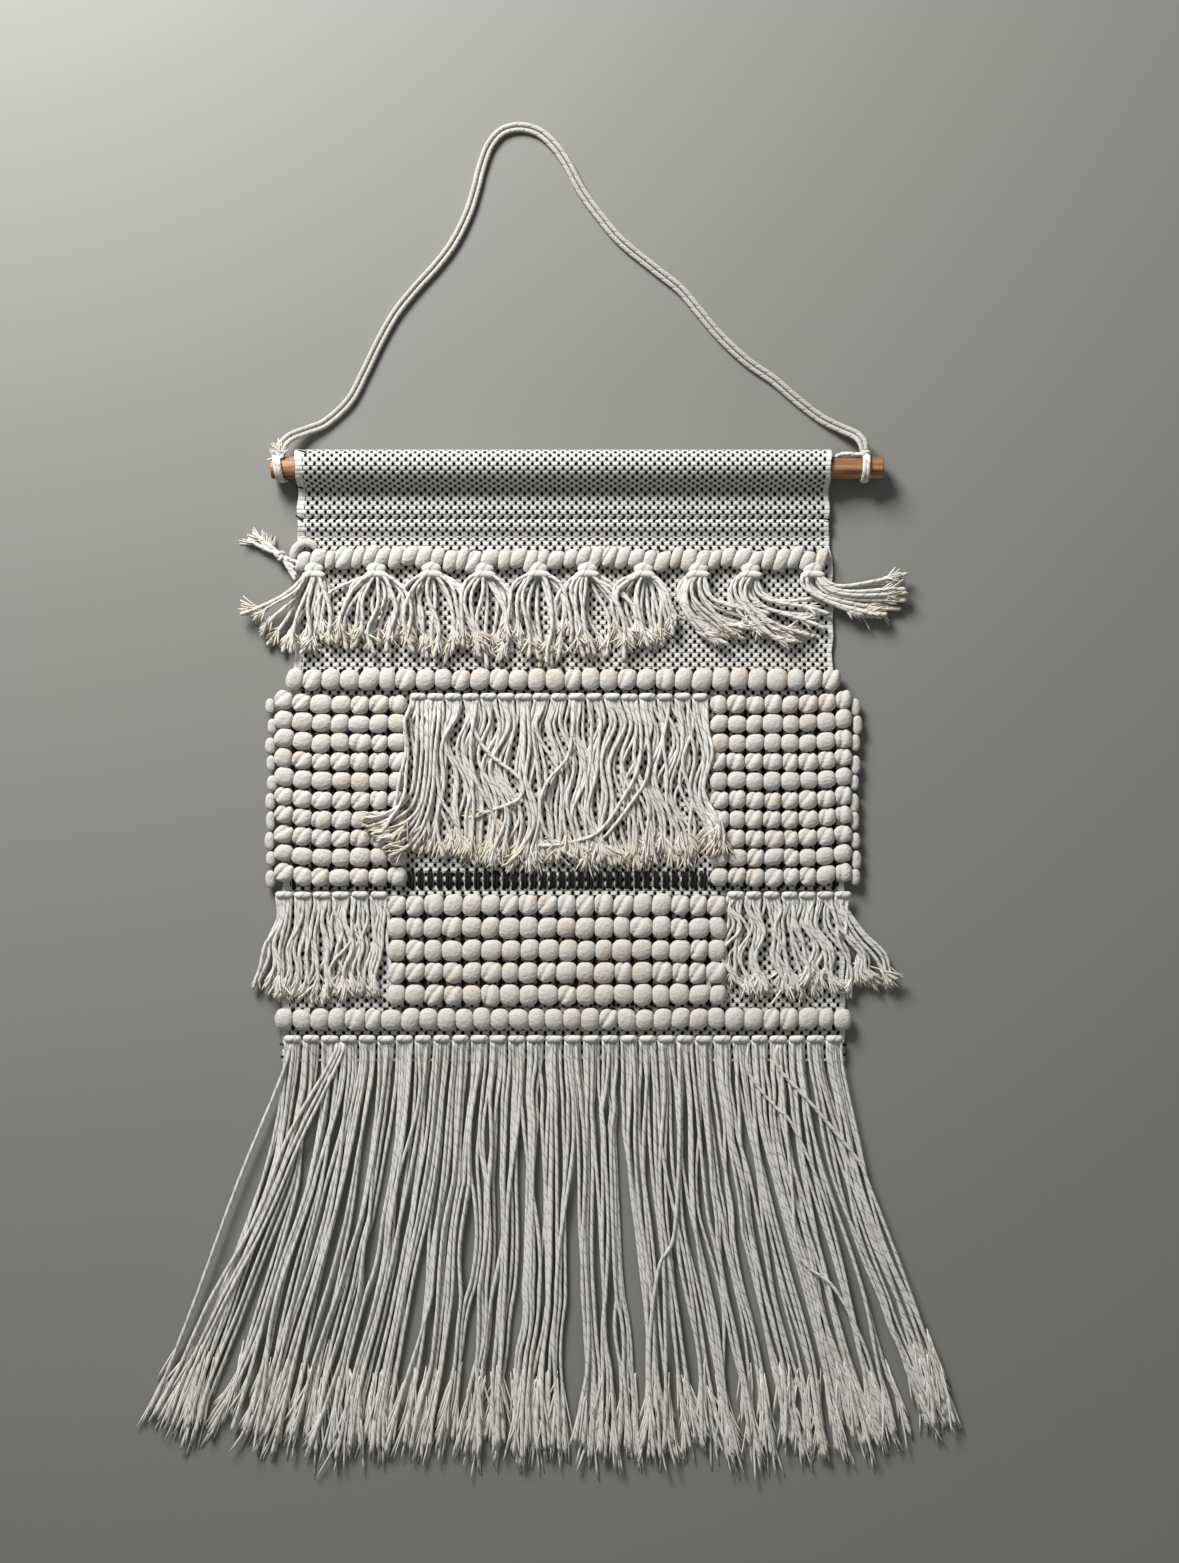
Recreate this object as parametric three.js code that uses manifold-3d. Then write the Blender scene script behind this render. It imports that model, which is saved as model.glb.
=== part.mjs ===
// A tapestry wall hanging laid flat on its back, face up: a hand-woven cotton cloth sewn into a sleeve
// round a wooden dowel, with rows of thick soft yarn, knotted tassels and fringes, and a doubled hanging
// cord hitched to the dowel's ends. Millimetres. +X runs to the right along the dowel, +Y towards the
// hanging cord and +Z out of the face. The origin is under the middle of the hanging, on its resting plane.
import * as THREE from "three";
import { mergeVertices } from "three/addons/utils/BufferGeometryUtils.js";
import Module from "manifold-3d";

const wasm = await Module();
wasm.setup();

// Clearances
const GAP = 0.3; // between pieces that touch
const FLOOR_GAP = 0.1; // under the cord

// Dowel and the sleeve round it. Every "down" is a distance from the top fold towards the fringe tips.
const DOWEL_DIAMETER = 12.7;
const DOWEL_LEFT_END = 14.5; // how far the dowel stands out of the sleeve on each side
const DOWEL_RIGHT_END = 30.5;
const DOWEL_CHAMFER = 0.8;
const CLOTH_THICK = 2; // one layer
const HEADER_WIDTH = 307; // width of the cloth at the sleeve
const SLEEVE_SLACK = 1.75; // spare room over the dowel at the fold
const CREASE_RUN = 10.6; // from the dowel's middle down to where the front layer meets the back one
const SEAM_RUN = 18; // from the crease to the stitches
const HEM_RUN = 6; // from the stitches to the end of the turned-back layer
const HEM_MARGIN = 9; // single cloth below the hem, before the first yarn row
const STITCH_THICK = 0.8;

// Cloth below the sleeve: it packs wider behind the thick yarn
const BAND_EXTRA = 5; // wider than the header behind the tassels
const BLOCK_EXTRA = 19; // wider than the header behind the yarn blocks
const WIDENING_RUN = 43.5; // from the first block row to where the cloth has its full width

// Thick yarn rows
const YARN_HEIGHT = 6.3; // how far a row stands off the cloth
const LOBE_PITCH = 10.6; // along a row
const LOBE_VALLEY = 0.78; // width between two lobes, as a share of the row's width
const EDGE_LOOP = 4; // a row turns this far outside the cloth's edge
const TOP_ROW = { margin: 1.5, width: 10.8, lobePitch: 8 }; // margin: to what lies above the row
const TASSEL_BAND = 60.2; // flat cloth between the top row and the upper row
const UPPER_ROW = { width: 11.4, past: 4.5 }; // past: how far it reaches over the band's edge
const BLOCK_ROWS = { margin: 3.35, gap: 0.55, width: 10.5, count: 10, upturn: 4 };
const LEFT_BLOCK_EDGE = -90; // inner edges of the two blocks
const RIGHT_BLOCK_EDGE = 84.6;
const LOWER_ROWS = { margin: 5.15, gap: 0.65, width: 12.3, count: 5, left: -101.8, right: 94.6 };
const BOTTOM_ROW = { margin: 2.05, width: 11.6 };
const YARN_TAIL_REACH = 30; // the knotted end of the top row's yarn, past the row

// Knots and fringes
const KNOT_HEIGHT = 5; // above the cloth
const KNOT_PITCH = 10.6;
const KNOT_VALLEY = 0.95; // as LOBE_VALLEY, on a row of knots
const TASSEL_CAP = { width: 13.5, height: 5.4 };
const TASSEL_NECK = 10; // width of the strands under the cap
const TASSEL_INSET = 9.5; // of the two outer tassels from the header's sides
const STRING_THICK = 4.7; // tassels and the fringes that lie on the cloth
const CENTRE_FRINGE = { knots: 9, length: 93.2, sidesShorter: 5 };
const SIDE_FRINGE = { margin: 1, knots: 8.7, length: 56.8, leftSweep: 12.5, rightSweep: 36, rightInset: 12 };
const BOTTOM_KNOTS = { margin: 0.4, knots: 19.5, inset: 3 };
const BOTTOM_FRINGE = { length: 232.7, thick: 7.3, sideSweep: 77, tipsRise: 27 };

// Each tassel: how far its knot sits from its place in an even row, then where its strands' left, lowest
// and right tips lie, across in knot spacings and down from the knot's upper edge in millimetres
const TASSELS = [
  { nudge: 0, left: [-1.32, 25], low: [-0.5, 51], right: [0.12, 33] },
  { nudge: 4, left: [-0.62, 37], low: [-0.19, 49], right: [0.34, 37] },
  { nudge: 3.8, left: [-0.44, 39], low: [0.09, 51], right: [0.44, 37] },
  { nudge: 2.2, left: [-0.38, 45], low: [0, 52], right: [0.41, 43] },
  { nudge: 1.4, left: [-0.44, 43], low: [0, 53], right: [0.38, 45] },
  { nudge: -2.1, left: [-0.34, 43], low: [0.19, 52], right: [0.56, 43] },
  { nudge: -1.7, left: [-0.25, 33], low: [0.25, 45], right: [0.63, 41] },
  { nudge: -2.2, left: [-0.12, 31], low: [0.38, 43], right: [0.94, 37] },
  { nudge: -4, left: [0.12, 31], low: [0.69, 43], right: [1.41, 25] },
  { nudge: 0, left: [0.94, 26], low: [1.63, 25], right: [1.68, 4] },
];

// Hanging cord: two strands side by side, hitched round the dowel's ends
const CORD_DIAMETER = 2.8;
const CORD_SIDES = 8;
const CORD_STEPS = 66;
const HITCH_WIDTH = 2 * CORD_DIAMETER;
const HITCH_THICK = 2; // the cord is pulled flat where it is wound on
const HITCH_LEFT_PLACE = 8; // from the sleeve's sides out to the middle of each hitch
const HITCH_RIGHT_PLACE = 19.3;
const CORD_START = { away: 0.75, above: 2.75 }; // from the hitch, and above the dowel's middle
// The cord's middle line between its two ends: across, down, and lift off the floor
const CORD_ROUTE = [
  [-160.8, -3.6, 8.75], [-156.2, -8.2, 5.35], [-148, -12, 1.95], [-137.2, -17, 0.15], [-123.8, -29.6, 0],
  [-115.1, -45.8, 0], [-106.4, -63.8, 0], [-97.2, -80, 0], [-85.6, -94.5, 0], [-73.4, -107.9, 0],
  [-63.5, -121.2, 0], [-55.4, -137.5, 0], [-51, -151, 0], [-47.4, -165, 0], [-42.6, -177.5, 0],
  [-35.1, -185.6, 0], [-24.7, -187.9, 0], [-14.2, -185, 0], [-5.5, -177.5, 0], [2, -167, 0],
  [10.7, -150.8, 0], [21.2, -136.3, 0], [33.5, -121.8, 0], [52.5, -106.1, 0], [67.6, -94, 0],
  [78.6, -81.2, 0], [91.4, -66.1, 0], [106.4, -52.2, 0], [122.1, -41.2, 0], [134.9, -30.2, 0],
  [148.8, -19.5, 0.15], [160.4, -13.2, 2.35], [168.6, -8.8, 5.75], [172.2, -3.8, 8.75],
];

// What follows from the sizes above. The dowel lies on the cloth's back layer or on its hitches.
const DOWEL_RADIUS = DOWEL_DIAMETER / 2;
const POCKET_RADIUS = DOWEL_RADIUS + GAP;
const SLEEVE_RADIUS = POCKET_RADIUS + CLOTH_THICK;
const HITCH_RADIUS = POCKET_RADIUS + HITCH_THICK;
const DOWEL_DOWN = SLEEVE_RADIUS + SLEEVE_SLACK;
const DOWEL_HIGH = Math.max(SLEEVE_RADIUS, HITCH_RADIUS);
const CREASE_DOWN = DOWEL_DOWN + CREASE_RUN;
const SEAM_DOWN = CREASE_DOWN + SEAM_RUN;
const HEM_DOWN = SEAM_DOWN + HEM_RUN;
const SLEEVE_END = HEM_DOWN + HEM_MARGIN;
const CLOTH_TOP = CLOTH_THICK + GAP; // underside of everything that lies on the cloth

const BAND_WIDTH = HEADER_WIDTH + BAND_EXTRA;
const BLOCK_WIDTH = HEADER_WIDTH + BLOCK_EXTRA;
const ROW_REACH = BLOCK_WIDTH / 2 + EDGE_LOOP;
const TOP_ROW_DOWN = SLEEVE_END + TOP_ROW.margin + TOP_ROW.width / 2;
const TASSELS_DOWN = TOP_ROW_DOWN + TOP_ROW.width / 2 + 2 * GAP;
const UPPER_ROW_DOWN = TOP_ROW_DOWN + TOP_ROW.width / 2 + TASSEL_BAND + UPPER_ROW.width / 2;
const BLOCK_DOWN = UPPER_ROW_DOWN + UPPER_ROW.width / 2 + BLOCK_ROWS.margin;
const BLOCK_PITCH = BLOCK_ROWS.width + BLOCK_ROWS.gap;
const BLOCK_END = BLOCK_DOWN + BLOCK_ROWS.count * BLOCK_PITCH - BLOCK_ROWS.gap;
const LOWER_PITCH = LOWER_ROWS.width + LOWER_ROWS.gap;
const LOWER_END = BLOCK_END + LOWER_ROWS.margin + LOWER_ROWS.count * LOWER_PITCH - LOWER_ROWS.gap;
const BOTTOM_ROW_DOWN = LOWER_END + BOTTOM_ROW.margin + BOTTOM_ROW.width / 2;
const BOTTOM_KNOTS_DOWN = BOTTOM_ROW_DOWN + BOTTOM_ROW.width / 2 + BOTTOM_KNOTS.margin;
const CLOTH_END = BOTTOM_KNOTS_DOWN + BOTTOM_KNOTS.knots;
const FRINGE_ROOT = CLOTH_END + GAP;
const LENGTH = FRINGE_ROOT + BOTTOM_FRINGE.length; // top fold to fringe tips

const SURFACES = {
  wood: new THREE.MeshStandardMaterial({ color: 0x8c5636, roughness: 0.6, metalness: 0 }),
  weave: new THREE.MeshStandardMaterial({ color: 0x8f8b84, roughness: 0.95, metalness: 0 }),
  thickYarn: new THREE.MeshStandardMaterial({ color: 0xddd8ce, roughness: 0.9, metalness: 0 }),
  string: new THREE.MeshStandardMaterial({ color: 0xc9c5bb, roughness: 0.95, metalness: 0 }),
  thread: new THREE.MeshStandardMaterial({ color: 0x1c1b1a, roughness: 0.9, metalness: 0 }),
};

const hanging = new THREE.Group();

function place(name, geometry, surface) {
  const mesh = new THREE.Mesh(geometry, SURFACES[surface].clone());
  mesh.name = name;
  hanging.add(mesh);
  return mesh;
}

const yOf = (down) => LENGTH / 2 - down;

// A flat piece with its outline given as [across, down] points
function plate(outline, bottom, top) {
  const shape = new THREE.Shape(outline.map(([x, down]) => new THREE.Vector2(x, yOf(down))));
  const geometry = new THREE.ExtrudeGeometry(shape, { depth: top - bottom, bevelEnabled: false });
  return geometry.translate(0, 0, bottom);
}

// A row of lobes on the cloth, along a line of [across, down] points
function lobedRow(line, width, lobePitch, valley, top) {
  const curve = new THREE.SplineCurve(line.map(([x, down]) => new THREE.Vector2(x, down)));
  const halfLobes = 2 * Math.round(curve.getLength() / lobePitch);
  const one = [];
  const other = [];
  for (let i = 0; i <= halfLobes; i++) {
    const middle = curve.getPointAt(i / halfLobes);
    const along = curve.getTangentAt(i / halfLobes);
    const half = (width / 2) * (i % 2 ? 1 : valley);
    one.push([middle.x - along.y * half, middle.y + along.x * half]);
    other.unshift([middle.x + along.y * half, middle.y - along.x * half]);
  }
  return plate([...one, ...other], CLOTH_TOP, top);
}

function dowel() {
  const end = (HEADER_WIDTH + DOWEL_LEFT_END + DOWEL_RIGHT_END) / 2;
  const profile = [
    [0, -end], [DOWEL_RADIUS - DOWEL_CHAMFER, -end], [DOWEL_RADIUS, DOWEL_CHAMFER - end],
    [DOWEL_RADIUS, end - DOWEL_CHAMFER], [DOWEL_RADIUS - DOWEL_CHAMFER, end], [0, end],
  ];
  const turned = new THREE.LatheGeometry(profile.map(([r, l]) => new THREE.Vector2(r, l)), 32);
  const mesh = place("dowel", turned.rotateZ(-Math.PI / 2), "wood");
  mesh.position.set((DOWEL_RIGHT_END - DOWEL_LEFT_END) / 2, yOf(DOWEL_DOWN), DOWEL_HIGH);
}

// Points of an arc in the sleeve's section, from one angle to another, in degrees from +down
function arc(down, high, radius, from, to, steps) {
  return Array.from({ length: steps + 1 }, (_, i) => {
    const angle = THREE.MathUtils.degToRad(from + ((to - from) * i) / steps);
    return [down + radius * Math.cos(angle), high + radius * Math.sin(angle)];
  });
}

// A section of [down, high] points drawn out across the hanging, centred
function alongX(section, length) {
  const shape = new THREE.Shape(section.map(([down, high]) => new THREE.Vector2(yOf(down), high)));
  const geometry = new THREE.ExtrudeGeometry(shape, { depth: length, bevelEnabled: false });
  const turn = new THREE.Matrix4().makeBasis(
    new THREE.Vector3(0, 1, 0), new THREE.Vector3(0, 0, 1), new THREE.Vector3(1, 0, 0),
  );
  return geometry.applyMatrix4(turn).translate(-length / 2, 0, 0);
}

function solidOf(geometry) {
  geometry.deleteAttribute("normal");
  geometry.deleteAttribute("uv");
  const merged = mergeVertices(geometry);
  const vertProperties = merged.attributes.position.array;
  const triVerts = new Uint32Array(merged.index.array);
  return new wasm.Manifold(new wasm.Mesh({ numProp: 3, vertProperties, triVerts }));
}

function geometryOf(solid) {
  const { vertProperties, triVerts } = solid.getMesh();
  const geometry = new THREE.BufferGeometry();
  geometry.setAttribute("position", new THREE.BufferAttribute(vertProperties, 3));
  geometry.setIndex(new THREE.BufferAttribute(triVerts, 1));
  geometry.computeVertexNormals();
  return geometry;
}

function rodSleeve() {
  const foldDown = DOWEL_DOWN - SLEEVE_SLACK;
  const toCrease = Math.atan2(CLOTH_THICK - DOWEL_HIGH, CREASE_DOWN - DOWEL_DOWN);
  const reach = Math.hypot(CLOTH_THICK - DOWEL_HIGH, CREASE_DOWN - DOWEL_DOWN);
  const leaves = toCrease + Math.acos(POCKET_RADIUS / reach); // where the front layer leaves the dowel
  const leavesDeg = THREE.MathUtils.radToDeg(leaves);
  const twoLayers = 2 * CLOTH_THICK;
  const front = arc(DOWEL_DOWN, DOWEL_HIGH, SLEEVE_RADIUS, 90, leavesDeg, 5);
  const [leaveDown, leaveHigh] = front[front.length - 1];
  const outline = [
    [SLEEVE_END, 0],
    ...arc(foldDown, DOWEL_HIGH, SLEEVE_RADIUS, 270, 90, 12),
    ...front,
    [leaveDown + (leaveHigh - twoLayers) * Math.tan(leaves), twoLayers],
    [HEM_DOWN, twoLayers],
    [HEM_DOWN + CLOTH_THICK, CLOTH_THICK],
    [SLEEVE_END, CLOTH_THICK],
  ];
  const pocket = [
    ...arc(foldDown, DOWEL_HIGH, POCKET_RADIUS, 270, 90, 12),
    ...arc(DOWEL_DOWN, DOWEL_HIGH, POCKET_RADIUS, 90, leavesDeg, 5),
    [CREASE_DOWN, CLOTH_THICK],
  ];
  const outer = solidOf(alongX(outline, HEADER_WIDTH));
  const inner = solidOf(alongX(pocket, HEADER_WIDTH + 2 * CLOTH_THICK)); // runs past both sides
  const geometry = geometryOf(outer.subtract(inner));
  place("rod_sleeve", geometry, "weave");
}

function sleeveStitching() {
  const half = HEADER_WIDTH / 2;
  const [near, far] = [SEAM_DOWN - STITCH_THICK / 2, SEAM_DOWN + STITCH_THICK / 2];
  const above = 2 * CLOTH_THICK + GAP;
  const outline = [[-half, near], [half, near], [half, far], [-half, far]];
  place("sleeve_stitching", plate(outline, above, above + STITCH_THICK), "thread");
}

function wovenCloth() {
  const side = [
    [HEADER_WIDTH / 2, SLEEVE_END + GAP],
    [BAND_WIDTH / 2, TOP_ROW_DOWN],
    [BAND_WIDTH / 2, UPPER_ROW_DOWN],
    [BLOCK_WIDTH / 2, BLOCK_DOWN + WIDENING_RUN],
    [BLOCK_WIDTH / 2, CLOTH_END],
  ];
  const other = side.map(([x, down]) => [-x, down]).reverse();
  place("woven_cloth", plate([...side, ...other], 0, CLOTH_THICK), "weave");
}

function yarnRow(name, line, width, lobePitch = LOBE_PITCH) {
  const geometry = lobedRow(line, width, lobePitch, LOBE_VALLEY, CLOTH_TOP + YARN_HEIGHT);
  place(name, geometry, "thickYarn");
}

const level = (left, right, down) => [[left, down], [right, down]];

function fullRows() {
  const top = HEADER_WIDTH / 2;
  const upper = BAND_WIDTH / 2 + UPPER_ROW.past;
  yarnRow("top_row", level(-top, top, TOP_ROW_DOWN), TOP_ROW.width, TOP_ROW.lobePitch);
  yarnRow("upper_row", level(-upper, upper, UPPER_ROW_DOWN), UPPER_ROW.width);
  yarnRow("bottom_row", level(-ROW_REACH, ROW_REACH, BOTTOM_ROW_DOWN), BOTTOM_ROW.width);
}

// The tail's outline, in shares of its reach past the row and of the row's width
function yarnTail() {
  const start = -HEADER_WIDTH / 2 - GAP;
  const outline = [[0, -0.4], [0, 0.4], [0.3, 0.5], [0.6, 0.2], [1, -0.9], [0.85, -1.4], [0.4, -0.5]];
  const points = outline.map(([out, below]) => [
    start - out * YARN_TAIL_REACH,
    TOP_ROW_DOWN + below * TOP_ROW.width,
  ]);
  place("yarn_tail", plate(points, CLOTH_TOP, CLOTH_TOP + YARN_HEIGHT), "thickYarn");
}

// A block's row, which turns up towards its outer end
function turnedRow(edge, end, down) {
  const run = end - edge;
  const { upturn } = BLOCK_ROWS;
  const bend = [edge + 0.85 * run, down - upturn / 3];
  return [[edge, down], [edge + 0.6 * run, down], bend, [end, down - upturn]];
}

function blockRows() {
  for (let i = 0; i < BLOCK_ROWS.count; i++) {
    const down = BLOCK_DOWN + BLOCK_ROWS.width / 2 + i * BLOCK_PITCH;
    const number = String(i + 1).padStart(2, "0");
    yarnRow("left_row_" + number, turnedRow(LEFT_BLOCK_EDGE, -ROW_REACH, down), BLOCK_ROWS.width);
    yarnRow("right_row_" + number, turnedRow(RIGHT_BLOCK_EDGE, ROW_REACH, down), BLOCK_ROWS.width);
  }
}

function lowerRows() {
  const { margin, width, count, left, right } = LOWER_ROWS;
  for (let i = 0; i < count; i++) {
    const down = BLOCK_END + margin + width / 2 + i * LOWER_PITCH;
    yarnRow("lower_row_" + (i + 1), level(left, right, down), width);
  }
}

function tassels() {
  const capEnd = TASSEL_CAP.height;
  const cap = TASSEL_CAP.width / 2;
  const neck = TASSEL_NECK / 2;
  const first = TASSEL_INSET - HEADER_WIDTH / 2;
  const spacing = (-2 * first) / (TASSELS.length - 1);
  TASSELS.forEach(({ nudge, left, low, right }, i) => {
    const tips = [left, low, right].map(([across, down]) => [across * spacing, down]);
    const outline = [
      [-cap, 0], [-cap, capEnd], [-neck, capEnd], ...tips, [neck, capEnd], [cap, capEnd], [cap, 0],
    ];
    const points = outline.map(([x, down]) => [first + i * spacing + nudge + x, TASSELS_DOWN + down]);
    const name = "tassel_" + String(i + 1).padStart(2, "0");
    place(name, plate(points, CLOTH_TOP, CLOTH_TOP + STRING_THICK), "string");
  });
}

function knotRow(name, left, right, start, width) {
  const line = level(left, right, start + width / 2);
  place(name, lobedRow(line, width, KNOT_PITCH, KNOT_VALLEY, CLOTH_TOP + KNOT_HEIGHT), "string");
}

function fringeOnCloth(name, outline) {
  place(name, plate(outline, CLOTH_TOP, CLOTH_TOP + STRING_THICK), "string");
}

function centreFringe() {
  const { knots, length, sidesShorter } = CENTRE_FRINGE;
  const start = UPPER_ROW_DOWN + UPPER_ROW.width / 2 + 2 * GAP;
  const left = LEFT_BLOCK_EDGE + 2 * GAP;
  const right = RIGHT_BLOCK_EDGE - 2 * GAP;
  const root = start + knots + GAP;
  const end = root + length;
  knotRow("centre_knots", left, right, start, knots);
  const sides = end - sidesShorter;
  const middle = (left + right) / 2;
  fringeOnCloth("centre_fringe", [[left, root], [left, sides], [middle, end], [right, sides], [right, root]]);
}

function sideFringes() {
  const { margin, knots, length, leftSweep, rightSweep, rightInset } = SIDE_FRINGE;
  const start = BLOCK_END + margin;
  const root = start + knots + GAP;
  const end = root + length;
  const edge = ROW_REACH - margin;
  const leftInner = LOWER_ROWS.left - 2 * GAP;
  const rightInner = LOWER_ROWS.right + 2 * GAP;
  const bulge = [[-edge - leftSweep, end], [-edge - leftSweep, root + 0.6 * length]];
  knotRow("left_knots", -edge, leftInner, start, knots);
  knotRow("right_knots", rightInner, edge, start, knots);
  fringeOnCloth("left_fringe", [[leftInner, root], [leftInner, end], ...bulge, [-edge, root]]);
  const outerTip = [edge + rightSweep, root + 0.9 * length];
  fringeOnCloth("right_fringe", [[rightInner, root], [rightInner + rightInset, end], outerTip, [edge, root]]);
}

// The bottom fringe spreads out from its knots and lies on the floor
function bottomFringe() {
  const { length, thick, sideSweep, tipsRise } = BOTTOM_FRINGE;
  const half = BLOCK_WIDTH / 2 - BOTTOM_KNOTS.inset;
  knotRow("bottom_knots", -half, half, BOTTOM_KNOTS_DOWN, BOTTOM_KNOTS.knots);
  const side = [
    [half + 0.08 * sideSweep, FRINGE_ROOT],
    [half + 0.23 * sideSweep, FRINGE_ROOT + 0.2 * length],
    [half + 0.58 * sideSweep, FRINGE_ROOT + 0.5 * length],
    [half + sideSweep, LENGTH - tipsRise],
    [half + 0.84 * sideSweep, LENGTH - tipsRise / 3],
    [half, LENGTH - 1],
  ];
  const other = side.map(([x, down]) => [-x, down]).reverse();
  place("bottom_fringe", plate([...side, [0, LENGTH], ...other], 0, thick), "string");
}

function hitch(name, x) {
  const half = HITCH_WIDTH / 2;
  const inner = POCKET_RADIUS;
  const outer = HITCH_RADIUS;
  const corners = [[inner, -half], [outer, -half], [outer, half], [inner, half], [inner, -half]];
  const section = corners.map(([r, l]) => new THREE.Vector2(r, l));
  const mesh = place(name, new THREE.LatheGeometry(section, 24).rotateZ(-Math.PI / 2), "string");
  mesh.position.set(x, yOf(DOWEL_DOWN), DOWEL_HIGH);
}

const HITCH_LEFT = -HEADER_WIDTH / 2 - HITCH_LEFT_PLACE;
const HITCH_RIGHT = HEADER_WIDTH / 2 + HITCH_RIGHT_PLACE;

// The cord's middle line: the hand-laid route, stretched across to span the hitches, with an end at each
function cordMiddle() {
  const [routeLeft, routeRight] = [-161.5, 172.8]; // where the hitches are for the route as laid
  const stretch = (HITCH_RIGHT - HITCH_LEFT) / (routeRight - routeLeft);
  const end = (x) => new THREE.Vector3(
    x, yOf(DOWEL_DOWN - HITCH_RADIUS - CORD_START.away), DOWEL_HIGH + CORD_START.above,
  );
  const laid = CORD_ROUTE.map(([x, down, lift]) => new THREE.Vector3(
    HITCH_LEFT + (x - routeLeft) * stretch, yOf(down), lift + CORD_DIAMETER / 2 + FLOOR_GAP,
  ));
  return [end(HITCH_LEFT), ...laid, end(HITCH_RIGHT)];
}

// One of the two strands, moved sideways from the cord's middle line
function cordStrand(name, sideways) {
  const middle = new THREE.CatmullRomCurve3(cordMiddle());
  const last = middle.points.length - 1;
  const points = middle.points.map((point, i) => {
    const along = middle.getTangent(i / last);
    const across = new THREE.Vector3(-along.y, along.x, 0).normalize();
    return point.clone().addScaledVector(across, sideways);
  });
  const ring = Array.from({ length: CORD_SIDES }, (_, i) => {
    const angle = ((i + 0.5) / CORD_SIDES) * 2 * Math.PI;
    return new THREE.Vector2(Math.cos(angle), Math.sin(angle)).multiplyScalar(CORD_DIAMETER / 2);
  });
  const geometry = new THREE.ExtrudeGeometry(new THREE.Shape(ring), {
    steps: CORD_STEPS,
    bevelEnabled: false,
    extrudePath: new THREE.CatmullRomCurve3(points),
  });
  place(name, geometry, "string");
}

dowel();
rodSleeve();
sleeveStitching();
wovenCloth();
fullRows();
yarnTail();
blockRows();
lowerRows();
tassels();
centreFringe();
sideFringes();
bottomFringe();
hitch("hitch_left", HITCH_LEFT);
hitch("hitch_right", HITCH_RIGHT);
cordStrand("cord_strand_upper", (CORD_DIAMETER + GAP) / 2);
cordStrand("cord_strand_lower", -(CORD_DIAMETER + GAP) / 2);

export default hanging;
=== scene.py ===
import math

import bpy
import numpy as np
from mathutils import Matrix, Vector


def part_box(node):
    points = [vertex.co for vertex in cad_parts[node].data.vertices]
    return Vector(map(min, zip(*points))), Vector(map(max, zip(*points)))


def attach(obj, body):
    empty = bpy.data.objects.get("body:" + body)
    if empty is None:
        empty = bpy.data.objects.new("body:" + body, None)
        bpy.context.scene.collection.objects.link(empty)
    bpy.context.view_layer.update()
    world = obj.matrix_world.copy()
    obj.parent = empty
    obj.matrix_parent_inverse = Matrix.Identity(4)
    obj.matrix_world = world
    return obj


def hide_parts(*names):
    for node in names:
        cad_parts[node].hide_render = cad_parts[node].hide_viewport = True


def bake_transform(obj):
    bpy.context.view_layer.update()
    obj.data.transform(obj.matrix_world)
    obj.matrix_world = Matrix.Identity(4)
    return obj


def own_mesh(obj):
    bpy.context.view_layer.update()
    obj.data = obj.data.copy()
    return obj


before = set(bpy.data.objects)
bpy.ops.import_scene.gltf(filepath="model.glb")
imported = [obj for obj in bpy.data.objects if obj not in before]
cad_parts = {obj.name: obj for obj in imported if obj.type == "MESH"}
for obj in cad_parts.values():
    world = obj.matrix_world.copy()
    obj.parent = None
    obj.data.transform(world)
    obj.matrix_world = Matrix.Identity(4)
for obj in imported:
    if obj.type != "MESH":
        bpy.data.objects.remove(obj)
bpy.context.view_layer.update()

bpy.ops.object.select_all(action="DESELECT")

# A tapestry wall hanging laid flat on its back, face up: hand-woven cotton cloth on a wooden dowel, thick
# soft yarn rows, knotted tassels and fringes, and a doubled hanging cord. Metres. +X runs to the right
# along the dowel and +Y towards the hanging cord; "down" is millimetres from the cloth's top fold.

# ---- Camera ------------------------------------------------------------------------------------------
# Straight above the hanging, so that its dowel is level in the frame.
CLOTH_TOP_DOWN = 54.3  # where the CAD model's flat cloth starts, under the sleeve
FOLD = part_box("woven_cloth")[1].y * 1000 + CLOTH_TOP_DOWN


def y_of(down):
    return (FOLD - down) / 1000


LONG_SIDE = 0.9065  # of the floor that shows, in metres
LENS, SENSOR = 50, 36
camera = bpy.data.objects.new("camera", bpy.data.cameras.new("camera"))
bpy.context.collection.objects.link(camera)
camera.data.lens = LENS
camera.data.sensor_width = SENSOR
camera.location = (0.0151, y_of(191.1), LONG_SIDE * LENS / SENSOR)
bpy.context.scene.camera = camera

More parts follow.
